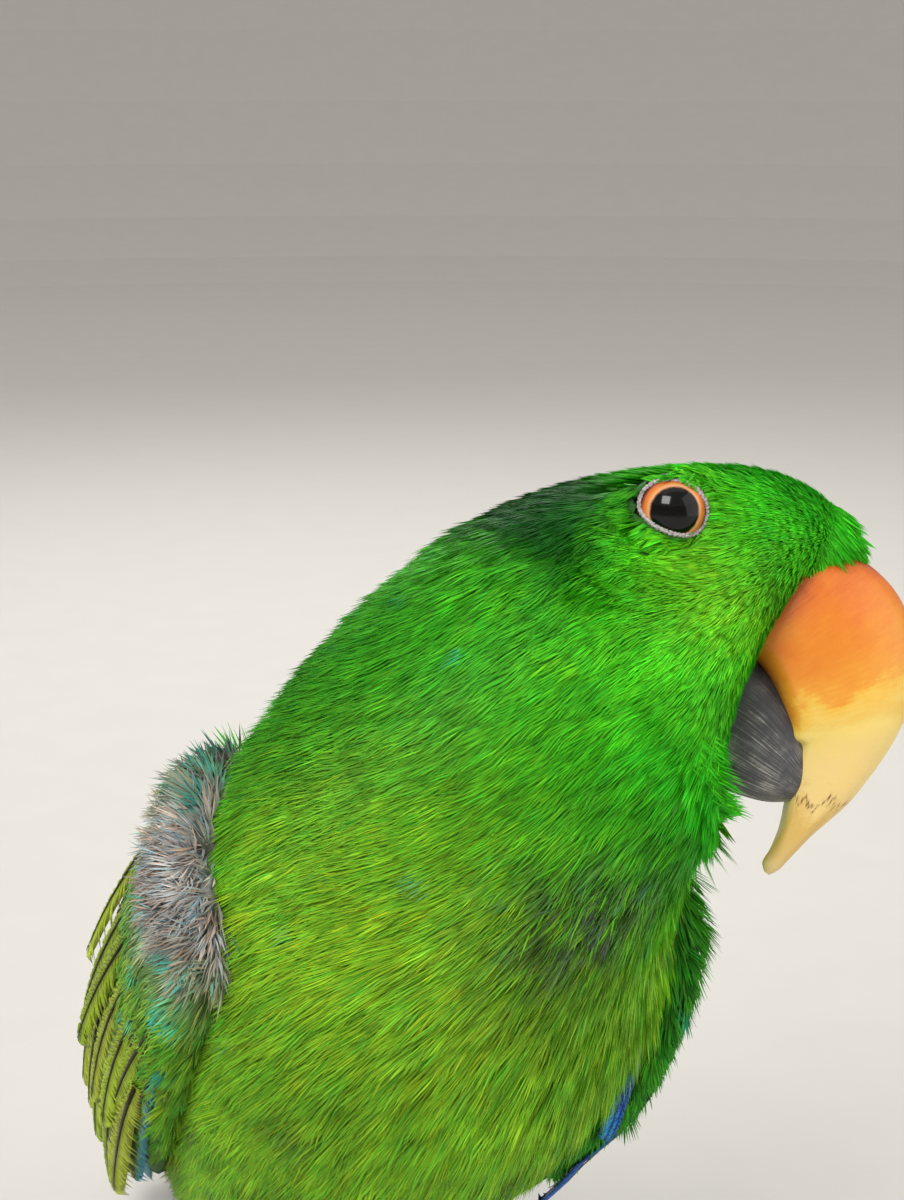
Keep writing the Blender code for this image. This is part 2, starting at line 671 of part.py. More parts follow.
def main():
    for old in list(bpy.data.objects):
        bpy.data.objects.remove(old)
    made, table = flesh()
    head_parts(made["head"])
    thighs = [leg(sign, word, made["torso"]) for sign, word in ((1, "left"), (-1, "right"))]
    near = [made["torso"], made["neck"], tail(table)] + thighs
    draw = random.Random(7)
    for sign, word in ((1, "left"), (-1, "right")):
        wing = wing_flesh(sign, word)
        combine(wing, wing_vanes(sign, draw), "UNION")
        combine(wing, [grown(o, GAP) for o in near], "DIFFERENCE")
    stand_in_middle()


HEAD_TURNED = (Matrix.Rotation(math.radians(HEAD_TURN), 3, "Z") @ Matrix.Rotation(math.radians(HEAD_DIP), 3, "X")
               @ Matrix.Rotation(math.radians(HEAD_TILT), 3, "Y"))

main()
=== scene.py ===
"""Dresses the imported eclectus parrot: one skin, feathers in mesh, eyes, bill, feet and a studio floor."""

import math

import bpy
import numpy as np
from mathutils import Matrix, Vector
from mathutils.bvhtree import BVHTree
from mathutils.kdtree import KDTree


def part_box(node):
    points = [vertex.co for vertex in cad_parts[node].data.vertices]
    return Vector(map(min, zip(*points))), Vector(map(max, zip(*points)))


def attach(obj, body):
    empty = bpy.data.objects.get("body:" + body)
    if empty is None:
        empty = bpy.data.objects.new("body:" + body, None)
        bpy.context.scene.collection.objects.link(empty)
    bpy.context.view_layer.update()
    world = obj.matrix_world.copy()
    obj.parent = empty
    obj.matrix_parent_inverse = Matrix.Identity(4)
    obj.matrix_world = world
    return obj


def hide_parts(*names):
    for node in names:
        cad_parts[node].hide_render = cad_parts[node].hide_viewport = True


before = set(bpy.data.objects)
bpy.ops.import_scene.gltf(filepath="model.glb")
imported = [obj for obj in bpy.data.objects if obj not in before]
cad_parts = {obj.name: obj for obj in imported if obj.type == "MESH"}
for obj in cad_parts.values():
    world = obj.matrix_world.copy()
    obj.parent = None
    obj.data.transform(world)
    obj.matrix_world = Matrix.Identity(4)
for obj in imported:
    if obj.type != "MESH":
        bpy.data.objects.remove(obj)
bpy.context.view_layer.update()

bl_info = {
    "name": "Eclectus Parrot Dressing",
    "version": (1, 0, 0),
    "blender": (4, 5, 0),
    "location": "View3D > Sidebar > Parrot",
    "description": "Skin, plumage, eyes, bill and feet of a life-size eclectus parrot",
    "category": "Object",
}

# Everything below is in millimetres of the bird's own layout, and turned to metres when a mesh is made
MM = 0.001
SEED = 11

# Head: its middle, then how far it is turned, dipped and tilted in degrees
HEAD_PLACE = np.array((50.7, -38.2, 213.2))
HEAD_TURN = 70.6
HEAD_DIP = 19.3
HEAD_TILT = 15.9
HEAD_TURNED = np.array(Matrix.Rotation(math.radians(HEAD_TURN), 3, "Z")
                       @ Matrix.Rotation(math.radians(HEAD_DIP), 3, "X")
                       @ Matrix.Rotation(math.radians(HEAD_TILT), 3, "Y"))

# Eyes, in the head frame as forward, up and side
EYE = (-1.8, -1.6, 14.4)
EYE_RADIUS = 5.0
EYE_OPENING = 4.3
OPENING_WIDE = 4.5
OPENING_HIGH = 3.25
PUPIL_DROP = 1.0
ORBIT_FLAT = 5.8
ORBIT_RADIUS = 13.5
ORBIT_DEPTH = 2.5

# Body from the tail to the shoulders: back point, belly point, half width, widest level, roundness
TRUNK = [
    ((5, 104, 35.5), (5, 102, 28.0), 15.0, 0.0, 2.3),
    ((4, 86, 46.5), (4, 80, 34.0), 15.0, 0.0, 2.2),
    ((3.5, 71, 59.5), (3.5, 64, 42.5), 14.0, 0.0, 2.1),
    ((3.0, 63, 74), (2.5, 47, 48), 19.5, 0.0, 2.1),
    ((6.5, 53, 99), (5.0, 20, 59), 27.5, 0.0, 2.1),
    ((12.5, 36, 125), (9.0, -13, 81), 34.5, -0.05, 2.1),
    ((16.5, 16.5, 151), (13.0, -40, 106), 40.5, -0.05, 2.1),
    ((18, 1.5, 176), (23, -53, 130), 41.5, 0.0, 2.1),
    ((11.5, -8.5, 193), (41, -53, 150), 36.0, 0.0, 2.1),
]
# Head, as forward and up in the head frame
SKULL = [
    ((-31.0, -14.5), (22.5, -43.0), 29.0, 0.0, 2.1),
    ((-20.0, -3.5), (22.0, -39.5), 26.2, -0.05, 2.3),
    ((-7.1, 4.2), (19.5, -35.5), 23.2, -0.15, 2.9),
    ((6.4, 9.6), (17.3, -28.0), 20.4, -0.15, 2.9),
    ((15.4, 10.1), (17.4, -18.5), 16.2, -0.1, 2.5),
    ((22.2, 8.4), (19.6, -8.5), 10.6, 0.0, 2.1),
    ((25.6, 5.4), (22.8, -3.0), 6.5, 0.0, 2.0),
    ((27.0, 2.6), (26.0, 0.2), 2.0, 0.0, 2.0),
]
UPPER_BEAK = [
    ((14.0, 0.0), (10.0, -14.0), 8.4, -0.1, 2.3),
    ((21.0, 2.6), (13.5, -15.5), 9.8, -0.15, 2.3),
    ((28.5, 1.8), (16.8, -16.5), 10.4, -0.25, 2.3),
    ((34.6, -1.2), (20.2, -18.6), 10.2, -0.35, 2.3),
    ((38.9, -6.6), (23.0, -21.4), 9.4, -0.4, 2.3),
    ((41.0, -12.4), (25.2, -24.2), 8.3, -0.4, 2.3),
    ((41.4, -16.4), (25.9, -25.9), 7.4, -0.4, 2.3),
    ((41.4, -18.6), (27.7, -26.4), 6.8, -0.4, 2.3),
    ((40.6, -23.6), (28.0, -28.8), 5.8, -0.3, 2.3),
    ((38.2, -31.4), (29.4, -33.6), 4.3, -0.1, 2.2),
    ((34.9, -37.6), (30.1, -38.2), 3.0, 0.0, 2.1),
    ((33.0, -41.9), (29.8, -41.7), 2.1, 0.0, 2.0),
    ((32.0, -44.2), (29.4, -43.9), 1.5, 0.0, 2.0),
    ((30.9, -45.4), (30.1, -45.2), 0.5, 0.0, 2.0),
]
LOWER_BEAK = [
    ((6.0, -20.0), (9.0, -31.0), 7.0, 0.0, 2.4),
    ((12.5, -15.0), (13.0, -33.8), 8.2, 0.1, 2.4),
    ((19.0, -16.0), (19.0, -35.8), 8.8, 0.2, 2.4),
    ((25.0, -20.5), (25.5, -35.8), 8.0, 0.2, 2.4),
    ((28.5, -24.5), (29.4, -34.6), 6.2, 0.1, 2.4),
    ((31.0, -27.5), (31.4, -32.8), 3.2, 0.0, 2.4),
]
# Depth of the coat over the skin, by row of the body and head
COAT_DEPTH = [(0, 1.2), (2, 2.5), (4, 4.5), (6, 5.5), (7.5, 5.0), (9, 3.6), (11, 2.2), (13, 1.6), (16, 0.9)]

# Wing form from the shoulder to the tips of the primaries
WING_FORM = [
    ((15, -5, 187), (33, -55, 143), 35.5, 0.0, 2.1),
    ((18, 1, 175), (23, -53, 130), 40.5, 0.0, 2.1),
    ((16.5, 16.5, 151), (13, -40, 106), 41.5, 0.0, 2.1),
    ((12.5, 37, 126), (9, -13, 81), 37.5, 0.0, 2.1),
    ((7.5, 60, 100), (6, 22, 56), 29.5, 0.0, 2.1),
    ((5, 92, 76), (5, 70, 38), 22.0, 0.0, 2.1),
    ((5, 121, 58), (5, 106, 28), 16.0, 0.0, 2.1),
    ((5, 144, 44), (5, 134, 20), 12.0, 0.0, 2.1),
    ((5, 160, 34), (5, 152, 14), 8.0, 0.0, 2.1),
]
# Fleshy front of a folded wing: row, lowest and highest degrees, thickness
WING_FLESH = [
    (0.95, -2, 28, 2.0),
    (1.25, -18, 46, 6.5),
    (2.0, -27, 66, 6.5),
    (3.0, -26, 75, 4.6),
    (3.8, -18, 76, 3.0),
    (4.6, -2, 66, 1.6),
]
WING_ROWS = (0.75, 7.4)
WING_DEGREES = (-48, 92)
# The left wing hangs lower, in degrees, and stands off the body, in millimetres
LEFT_WING_DROP = 12
LEFT_WING_OUT = 7.0
# Tiers: count, then lowest and highest feather as root row, degrees, height, the same at the tip, half width
WING_TIERS = {
    "primary": (9, (4.2, -2, 0.4, 6.85, 34, 0.3, 5.4), (4.0, 36, 1.6, 5.75, 62, 4.6, 6.4)),
    "secondary": (9, (3.4, 6, 1.2, 5.35, 24, 3.2, 6.4), (3.2, 60, 2.2, 4.75, 74, 5.0, 7.0)),
    "primary_covert": (4, (3.0, -17, 1.8, 4.75, -4, 2.4, 4.2), (2.9, -4, 2.0, 4.5, 9, 3.2, 4.8)),
    "greater_covert": (9, (2.5, -4, 3.0, 3.95, 4, 3.9, 5.6), (2.2, 60, 3.8, 3.75, 67, 5.6, 6.2)),
    "median_covert": (9, (1.75, -14, 4.2, 2.95, -12, 5.4, 5.0), (1.55, 46, 4.6, 2.9, 60, 6.9, 5.8)),
    "alula": (3, (1.9, -22, 3.4, 3.4, -22, 4.4, 3.2), (1.7, -13, 4.2, 2.9, -12, 5.4, 3.6)),
}
# Loose feathers over the worn coverts of the right wing
LOOSE_TIERS = {
    "loose": (7, (1.5, -16, 3.6, 2.9, -20, 7.0, 2.6), (1.35, 26, 4.0, 2.5, 22, 9.5, 3.0)),
    "loose_low": (6, (2.1, -20, 4.6, 3.6, -22, 8.0, 2.8), (2.0, 20, 5.0, 3.4, 12, 10.0, 3.0)),
}
# Blue rim feathers of the left wing's bend, which come out from under the breast
RIM_PATH = [(52.6, -23.5, 130.5), (51.0, -27.3, 128.0), (49.3, -30.3, 124.6), (47.7, -32.3, 120.4),
            (46.6, -31.2, 114.8), (46.3, -28.0, 108.4), (45.9, -25.0, 104.3)]
# Each rim feather: how far it lies behind the first, and its half width
RIM_FEATHERS = [(0.0, 1.7), (1.0, 1.4)]
# How much further than the others the longest primary reaches, in rows, and how far the vanes are rolled in degrees
LONGEST_PRIMARY = 0.35
WING_ROLL = 13.0
# Where along a vane its width is given, and the share of its half width there, without the one at the tip
VANE_WIDTH = ([0, 0.3, 0.65, 0.86, 0.96, 1], [0.4, 0.9, 1.0, 0.84, 0.6])

# Tail feathers run from the root to the tip, side by side, each a step lower than the one nearer the middle
TAIL_FEATHERS = 12
TAIL_ROOT = (4.6, 90, 42.0)
TAIL_TIP = (6.0, 163, 12.0)
TAIL_ROOT_SPACING = 1.7
TAIL_TIP_SPACING = 2.7
TAIL_STEP = 0.95
TAIL_HALF_WIDTH = 7.6
# Coverts over and under the tail: count, root, tip, spacing at the root and at the tip, half width
TAIL_COVERTS = [
    (7, (4.4, 80, 49.0), (5.2, 118, 34.0), 3.0, 4.4, 5.0),
    (7, (4.4, 76, 41.0), (5.2, 110, 25.0), 3.0, 4.4, 4.8),
]

# Middle of the stance, how far each foot stands from it, a toe's radius, and how deep the soles are cut flat
STANCE = (13.5, 3.0)
FOOT_SIDE = 19.0
TOE_RADIUS = 3.5
SOLE_DEPTH = 0.7
# Toes: bearing in degrees, length, length of the claw
TOES = [(14, 27, 11.5), (-20, 19, 9.5), (152, 24, 11.0), (-158, 14, 9.0)]

# Rows where the coats of the head begin
CROWN_ROW = 9.6
FACE_ROW = 12.2
# Rows of the face, and how far apart in millimetres its tufts stand there
FACE_SPACING = ([12, 14, 16], [0.62, 0.55, 0.5])
# Coats of the body: name, first and last row, whether it lies on the back, spacing in millimetres, barbs to a tuft
BODY_COATS = [
    ("coat_neck_back", 7.9, CROWN_ROW, True, 1.15, 16),
    ("coat_neck_front", 7.9, CROWN_ROW, False, 1.05, 18),
    ("coat_shoulders_back", 6.2, 7.9, True, 1.6, 18),
    ("coat_shoulders_front", 6.2, 7.9, False, 1.65, 22),
    ("coat_breast", 4.4, 6.2, False, 1.8, 22),
    ("coat_back", 4.4, 6.2, True, 2.2, 16),
    ("coat_belly", 0.8, 4.4, False, 2.0, 16),
    ("coat_rump", 0.8, 4.4, True, 2.1, 14),
]
# Coats of the thighs and of the wings' shoulders: form, name, spacing, length, half width, height, barbs, slot
LIMB_COATS = [
    (1, "coat_thighs", 2.3, 9.5, 2.4, 2.2, 13, "green_feathers"),
    (2, "coat_shoulder_wings", 2.0, 9.0, 2.7, 1.3, 16, "wing_feathers"),
]
LAST_SMALL_COVERT_ROW = 2.75

# Markings, each a middle and how wide it is: the worn bend of the right wing, the turquoise feathers under it,
# where the feathers of the throat part, and the lime patch of the breast
WORN_BEND = ((-19, -33, 161), (5.66, 9.9, 7.78))
TURQUOISE_SPOT = ((-22, -37, 144), 5.0)
THROAT_PARTING = ((36, -58, 165), 8.0)
LIME_PATCH = ((18, -50, 162), 13.0)

# Size of the cells that the skin and the feet are made of
SKIN_VOXEL = 1.25
FOOT_VOXEL = 0.5

# Soft square lights, in metres: name, place, size, and power against the main one's
LIGHTS = [
    ("main", (-0.55, -0.75, 0.95), 0.5, 1.0),
    ("fill", (0.75, -0.5, 0.45), 1.0, 0.35),
    ("top", (0.0, 0.3, 2.2), 2.6, 1.4),
    ("back", (0.1, 0.8, 0.8), 0.6, 0.5),
]
LIGHTS_AIM = (0, -0.03, 0.14)
# Studio floor: radius of its flat part and of its sweep up into the wall, and steps of the sweep
FLOOR_RADIUS = 2.2
SWEEP_RADIUS = 1.5
SWEEP_STEPS = 12

# Camera of the photograph
CAMERA_PLACE = (-51.0, -312.1, 277.1)
CAMERA_AZIMUTH = -14.0
CAMERA_ELEVATION = 15.0
CAMERA_LENS = 61.5


def head_point(forward, up, side=0.0):
    """A place in the head frame; side is positive to the bird's left."""
    return HEAD_PLACE + HEAD_TURNED @ np.array((side, -forward, up))


def in_head(places):
    """How far forward, up and to the bird's left places lie in the head frame."""
    inside = (places - HEAD_PLACE) @ HEAD_TURNED
    return -inside[..., 1], inside[..., 2], inside[..., 0]


def bird_shift():
    """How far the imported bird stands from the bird's own layout, in millimetres."""
    low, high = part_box("eye_right")
    middle = np.array([(a + b) / 2 for a, b in zip(low, high)]) / MM
    return middle - head_point(EYE[0], EYE[1], -EYE[2])


SHIFT = bird_shift()


def linear(text):
    """Linear colour of an sRGB hex value."""
    parts = [int(text[i:i + 2], 16) / 255 for i in (0, 2, 4)]
    return np.array([p / 12.92 if p <= 0.04045 else ((p + 0.055) / 1.055) ** 2.4 for p in parts])


def unit(v):
    """Vectors of length 1."""
    return v / np.maximum(np.linalg.norm(v, axis=-1, keepdims=True), 1e-9)


def smooth(value, low, high):
    """A soft step from 0 at low to 1 at high."""
    f = np.clip((value - low) / (high - low), 0, 1)
    return f * f * (3 - 2 * f)


def row_table(rows):
    """Rows as numbers: back point, belly point, half width, level and roundness."""
    return np.array([[*back, *belly, *rest] for back, belly, *rest in rows], float)


def head_rows(rows):
    """Rows given in the head frame, in the bird's own."""
    return [(head_point(*top), head_point(*bottom), *rest) for top, bottom, *rest in rows]


def rows_at(table, t):
    """A smooth curve through the rows of a table, read at row numbers t."""
    last = len(table) - 1
    t = np.clip(np.asarray(t, float), 0, last)
    i = np.minimum(t.astype(int), last - 1)
    f = (t - i)[..., None]
    padded = np.vstack([2 * table[0] - table[1], table, 2 * table[-1] - table[-2]])
    a, b, c, d = padded[i], padded[i + 1], padded[i + 2], padded[i + 3]
    return b + 0.5 * f * (c - a + f * (2 * a - 5 * b + 4 * c - d + f * (3 * (b - c) + d - a)))


def form_points(table, t, angle):
    """Places of a lofted form: angle 0 is one side, 90 degrees the back and 180 the other side."""
    row = rows_at(table, t)
    along = rows_at(table, t + 0.02) - rows_at(table, t - 0.02)
    middle = (row[..., 0:3] + row[..., 3:6]) / 2
    half = (row[..., 0:3] - row[..., 3:6]) / 2
    side = unit(np.cross(half, along[..., 0:3] + along[..., 3:6]))
    width, level, power = row[..., 6:7], row[..., 7:8], row[..., 8:9]
    c, s = np.cos(angle)[..., None], np.sin(angle)[..., None]
    across = np.sign(c) * np.abs(c) ** (2 / power)
    high = np.sign(s) * np.abs(s) ** (2 / power)
    reach = np.where(high > 0, 1 - level, 1 + level)
    return middle + side * width * across + half * (level + reach * high)


class Sheet:
    """A smooth surface as a grid of places, read by row number and by degrees round it."""

    def __init__(self, places, rows, turns, outward=None):
        self.places = places
        self.rows = rows
        self.turns = turns
        self.closed = abs(turns[1] - turns[0]) >= 360
        count = places.shape[1]
        if self.closed:
            wide = np.concatenate([places[:, -1:], places, places[:, :1]], axis=1)
            round_it = (wide[:, 2:] - wide[:, :-2]) / 2
            self.per_turn = count / (turns[1] - turns[0])
        else:
            round_it = np.gradient(places, axis=1)
            self.per_turn = (count - 1) / (turns[1] - turns[0])
        self.per_row = (places.shape[0] - 1) / (rows[1] - rows[0])
        self.along = np.gradient(places, axis=0) * self.per_row
        self.across = round_it * self.per_turn
        self.out = unit(np.cross(self.across, self.along)) if outward is None else outward

    def read(self, grid, u, v):
        """The grid's values between its points."""
        last_row, count = grid.shape[0] - 1, grid.shape[1]
        x = np.clip((u - self.rows[0]) * self.per_row, 0, last_row - 1e-6)
        y = (v - self.turns[0]) * self.per_turn
        i = x.astype(int)
        fx = (x - i)[..., None]
        if self.closed:
            y = np.mod(y, count)
            j = np.minimum(y.astype(int), count - 1)
            k = (j + 1) % count
        else:
            y = np.clip(y, 0, count - 1 - 1e-6)
            j = y.astype(int)
            k = j + 1
        fy = (y - j)[..., None]
        near = grid[i, j] * (1 - fy) + grid[i, k] * fy
        far = grid[i + 1, j] * (1 - fy) + grid[i + 1, k] * fy
        return near * (1 - fx) + far * fx

    def at(self, u, v, lift):
        """Places at a height over the surface."""
        return self.read(self.places, u, v) + self.read(self.out, u, v) * np.asarray(lift)[..., None]


def body_sheet():
    """The skin from the tail root to the bill as smooth rings, inside the flesh by the depth of the coat."""
    table = row_table(TRUNK + head_rows(SKULL))
    last = len(table) - 1
    per_row, turns = 12, 180
    t = np.linspace(0, last, last * per_row + 1)
    angle = np.radians(np.arange(turns) * 360 / turns)
    grid = form_points(table, np.repeat(t[:, None], turns, 1), np.repeat(angle[None], len(t), 0))
    for _ in range(48):
        grid[1:-1] = 0.5 * grid[1:-1] + 0.25 * (grid[:-2] + grid[2:])
    for side in (-1, 1):
        middle = head_point(EYE[0], EYE[1], side * EYE[2])
        look = eye_look(side)
        rise = math.sqrt(EYE_RADIUS ** 2 - EYE_OPENING ** 2)
        height = (grid - middle) @ look
        away = np.linalg.norm(grid - middle - height[..., None] * look, axis=-1)
        weight = 1 - smooth(away, ORBIT_FLAT, ORBIT_RADIUS)
        weight = np.where(height > -ORBIT_DEPTH, weight, 0)
        grid = grid + look * ((rise - height) * weight)[..., None]
    full = Sheet(grid, (0, last), (0, 360))
    depths = np.interp(t, *zip(*COAT_DEPTH))[:, None, None]
    return Sheet(grid - full.out * depths, (0, last), (0, 360), full.out)


def eye_look(side):
    """The way an eye looks: out to the side, a little forward and up."""
    return unit(HEAD_TURNED @ np.array((side, -0.07, 0.08)))


def wing_sheet(side):
    """The form that a folded wing lies on, from its front edge over to the back."""
    table = row_table(WING_FORM)
    dd, tt = np.meshgrid(np.linspace(*WING_DEGREES, 71), np.linspace(*WING_ROWS, 134))
    low_part = 1 - np.clip((dd + 20) / 95, 0, 1)
    drop = (side > 0) * LEFT_WING_DROP * np.sin(np.pi * np.clip((tt - 0.95) / 5, 0, 1))
    stand_off = (side > 0) * LEFT_WING_OUT * np.sin(np.pi * np.clip((tt - 2.6) / 3.8, 0, 1))
    turned = dd - drop * low_part
    angle = np.radians(180 - turned if side > 0 else turned)
    here = form_points(table, tt, angle)
    along = form_points(table, tt + 0.02, angle) - form_points(table, tt - 0.02, angle)
    round_it = form_points(table, tt, angle + 0.02) - form_points(table, tt, angle - 0.02)
    out = unit(np.cross(round_it, along))
    return Sheet(here + out * (stand_off * low_part)[..., None], WING_ROWS, WING_DEGREES, out)


def tube_grid(points, radii, rows, turns):
    """Rings round a smooth path, each turned as little as can be from the one before."""
    path = np.array(points, float)
    sizes = np.array(radii, float).reshape(-1, 1)
    side = None
    rings = []
    angle = 2 * np.pi * np.arange(turns) / turns
    for t in np.linspace(0, len(points) - 1, rows):
        here = rows_at(path, t)
        along = unit(rows_at(path, t + 0.05) - rows_at(path, t - 0.05))
        side = np.cross(along, (0.3, 0.9, 0.1)) if side is None else side
        side = unit(side - along * (side @ along))
        over = np.cross(along, side)
        rings.append(here + rows_at(sizes, t) * (np.outer(np.cos(angle), side) + np.outer(np.sin(angle), over)))
    return np.array(rings)


def leg_paths(side):
    """The thigh, tarsus, toes and claws of a leg, each as a path and its radii."""
    x, y = STANCE[0] + side * FOOT_SIDE, STANCE[1]
    thigh = ([(x - 7 * side, y + 20, 82), (x - 5 * side, y + 18, 66), (x - 2 * side, y + 15, 50),
              (x, y + 12, 35), (x, y + 9, 26)], [12.5, 14.5, 12.5, 8.5, 5.4])
    tarsus = ([(x, y + 12, 34), (x, y + 8, 22), (x, y + 3, 12), (x, y, 4.5)], [3.9, 3.8, 4.1, 4.8])
    toes, claws = [], []
    for bearing, length, claw in TOES:
        a = math.radians(bearing)
        way = np.array((side * math.sin(a), -math.cos(a), 0))
        start = np.array((x, y, 0))
        up = np.array((0, 0, 1))
        level = TOE_RADIUS - SOLE_DEPTH
        toes.append(([start + up * 5.5, start + way * length * 0.45 + up * (level + 0.7),
                      start + way * length * 0.8 + up * (level - 0.1), start + way * length + up * level],
                     [4.2, TOE_RADIUS, TOE_RADIUS * 0.97, TOE_RADIUS * 0.62]))
        root = start + way * (length - 3.0)
        claws.append(([root + up * 3.2, root + way * claw * 0.4 + up * 4.9, root + way * claw * 0.8 + up * 3.9,
                       root + way * claw + up * 1.1], [1.7, 1.75, 1.1, 0.2]))
    return thigh, tarsus, toes, claws


def thigh_sheet(side):
    """The skin of a thigh, a little inside the solid one."""
    points, radii = leg_paths(side)[0]
    grid = tube_grid(points, [r - 2.2 for r in radii], 49, 60)
    sheet = Sheet(grid, (0, 4), (0, 360))
    centre = grid.mean(axis=1, keepdims=True)
    if ((grid - centre) * sheet.out).sum() < 0:
        sheet.out = -sheet.out
    return sheet


class Plumage:
    """Collects the places, faces, colours and unwrap of many small feathers."""

    def __init__(self):
        self.places, self.faces, self.tints, self.flat, self.grain = [], [], [], [], []
        self.count = 0

    def add(self, places, faces, tints, flat, grain):
        self.places.append(places.reshape(-1, 3))
        self.faces.append(faces.reshape(-1, 3) + self.count)
        self.tints.append(tints.reshape(-1, 3))
        self.flat.append(flat.reshape(-1, 2))
        self.grain.append(grain.reshape(-1))
        self.count += self.places[-1].shape[0]

    def triangles(self):
        return sum(len(f) for f in self.faces)

    def build(self, name, material, slot, smooth_faces=True):
        """One mesh object of all the feathers, with its colours and its unwrap."""
        places = (np.concatenate(self.places) + SHIFT) * MM
        faces = np.concatenate(self.faces)
        mesh = bpy.data.meshes.new(name)
        mesh.vertices.add(len(places))
        mesh.vertices.foreach_set("co", places.astype(np.float32).ravel())
        mesh.loops.add(faces.size)
        mesh.loops.foreach_set("vertex_index", faces.astype(np.int32).ravel())
        mesh.polygons.add(len(faces))
        mesh.polygons.foreach_set("loop_start", np.arange(0, faces.size, 3, dtype=np.int32))
        mesh.polygons.foreach_set("use_smooth", np.full(len(faces), smooth_faces))
        mesh.update(calc_edges=True)
        tints = np.concatenate(self.tints)
        layer = mesh.color_attributes.new("plumage", "FLOAT_COLOR", "POINT")
        layer.data.foreach_set("color", np.column_stack([tints, np.ones(len(tints))]).astype(np.float32).ravel())
        grain = mesh.attributes.new("barb", "FLOAT", "POINT")
        grain.data.foreach_set("value", np.concatenate(self.grain).astype(np.float32))
        flat = np.concatenate(self.flat)[faces.ravel()]
        unwrap = mesh.uv_layers.new(name="OFBake")
        unwrap.data.foreach_set("uv", flat.astype(np.float32).ravel())
        mesh.materials.append(material)
        piece = bpy.data.objects.new(name, mesh)
        bpy.context.scene.collection.objects.link(piece)
        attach(piece, "root")
        return piece


# A quill's barb is a slim closed blade with a ridge; a small feather's barb is a slimmer one of four corners
BLADE = np.array([(0, 3, 1), (0, 2, 3), (4, 1, 3), (4, 3, 2), (0, 1, 2), (4, 2, 1)])
SLIVER = np.array([(0, 2, 1), (3, 1, 2), (0, 1, 3), (0, 3, 2)])
PATCH = 0.0015


class Ground:
    """The skin as small triangles, for rooting feathers on it and laying them along it."""

    def __init__(self, piece):
        mesh = piece.data
        mesh.calc_loop_triangles()
        places = np.empty(len(mesh.vertices) * 3)
        mesh.vertices.foreach_get("co", places)
        self.places = places.reshape(-1, 3) / MM - SHIFT
        corners = np.empty(len(mesh.loop_triangles) * 3, np.int32)
        mesh.loop_triangles.foreach_get("vertices", corners)
        self.corners = corners.reshape(-1, 3)
        out = np.empty(len(mesh.vertices) * 3)
        mesh.vertices.foreach_get("normal", out)
        self.out = unit(out.reshape(-1, 3)[self.corners].mean(1))
        a, b, c = (self.places[self.corners[:, i]] for i in range(3))
        self.area = np.linalg.norm(np.cross(b - a, c - a), axis=1) / 2
        self.tree = BVHTree.FromPolygons(self.places.tolist(), self.corners.tolist())
        self.form, self.row, self.turn, self.flow = guide((a + b + c) / 3)

    def roots(self, draw, wanted, spacing):
        """Evenly strewn roots on the wanted triangles, each the number of its triangle and its place."""
        chosen = np.flatnonzero(wanted)
        gap = np.broadcast_to(np.asarray(spacing, float), self.area.shape)[chosen]
        share = self.area[chosen] / gap ** 2
        count = int(share.sum() * 4)
        face = chosen[draw.choice(len(chosen), count, p=share / share.sum())]
        e, f = draw.uniform(0, 1, (2, count))
        over = e + f > 1
        e, f = np.where(over, 1 - e, e), np.where(over, 1 - f, f)
        a, b, c = (self.places[self.corners[face, i]] for i in range(3))
        places = a + (b - a) * e[:, None] + (c - a) * f[:, None]
        reach = (np.broadcast_to(np.asarray(spacing, float), self.area.shape)[face] * 0.74)
        cell = reach.max()
        keys = np.floor(places / cell).astype(int)
        found, kept = {}, []
        for i in range(count):
            x, y, z = keys[i]
            p, r = places[i], reach[i] ** 2
            near = [q for dx in (-1, 0, 1) for dy in (-1, 0, 1) for dz in (-1, 0, 1)
                    for q in found.get((x + dx, y + dy, z + dz), ())]
            if all((q[0] - p[0]) ** 2 + (q[1] - p[1]) ** 2 + (q[2] - p[2]) ** 2 > r for q in near):
                found.setdefault((x, y, z), []).append(p)
                kept.append(i)
        return face[kept], places[kept]

    def laid(self, places, far=1.2):
        """Bring places down to the skin, but no further than far, with the way out of the skin there."""
        flat = places.reshape(-1, 3)
        spots, outs = np.empty_like(flat), np.empty_like(flat)
        find = self.tree.find_nearest
        for i, p in enumerate(flat):
            spot, _, face, _ = find(p)
            spots[i] = spot
            outs[i] = self.out[face]
        move = spots - flat
        size = np.linalg.norm(move, axis=1, keepdims=True)
        move *= np.minimum(1, far / np.maximum(size, 1e-6))
        return (flat + move).reshape(places.shape), outs.reshape(places.shape)


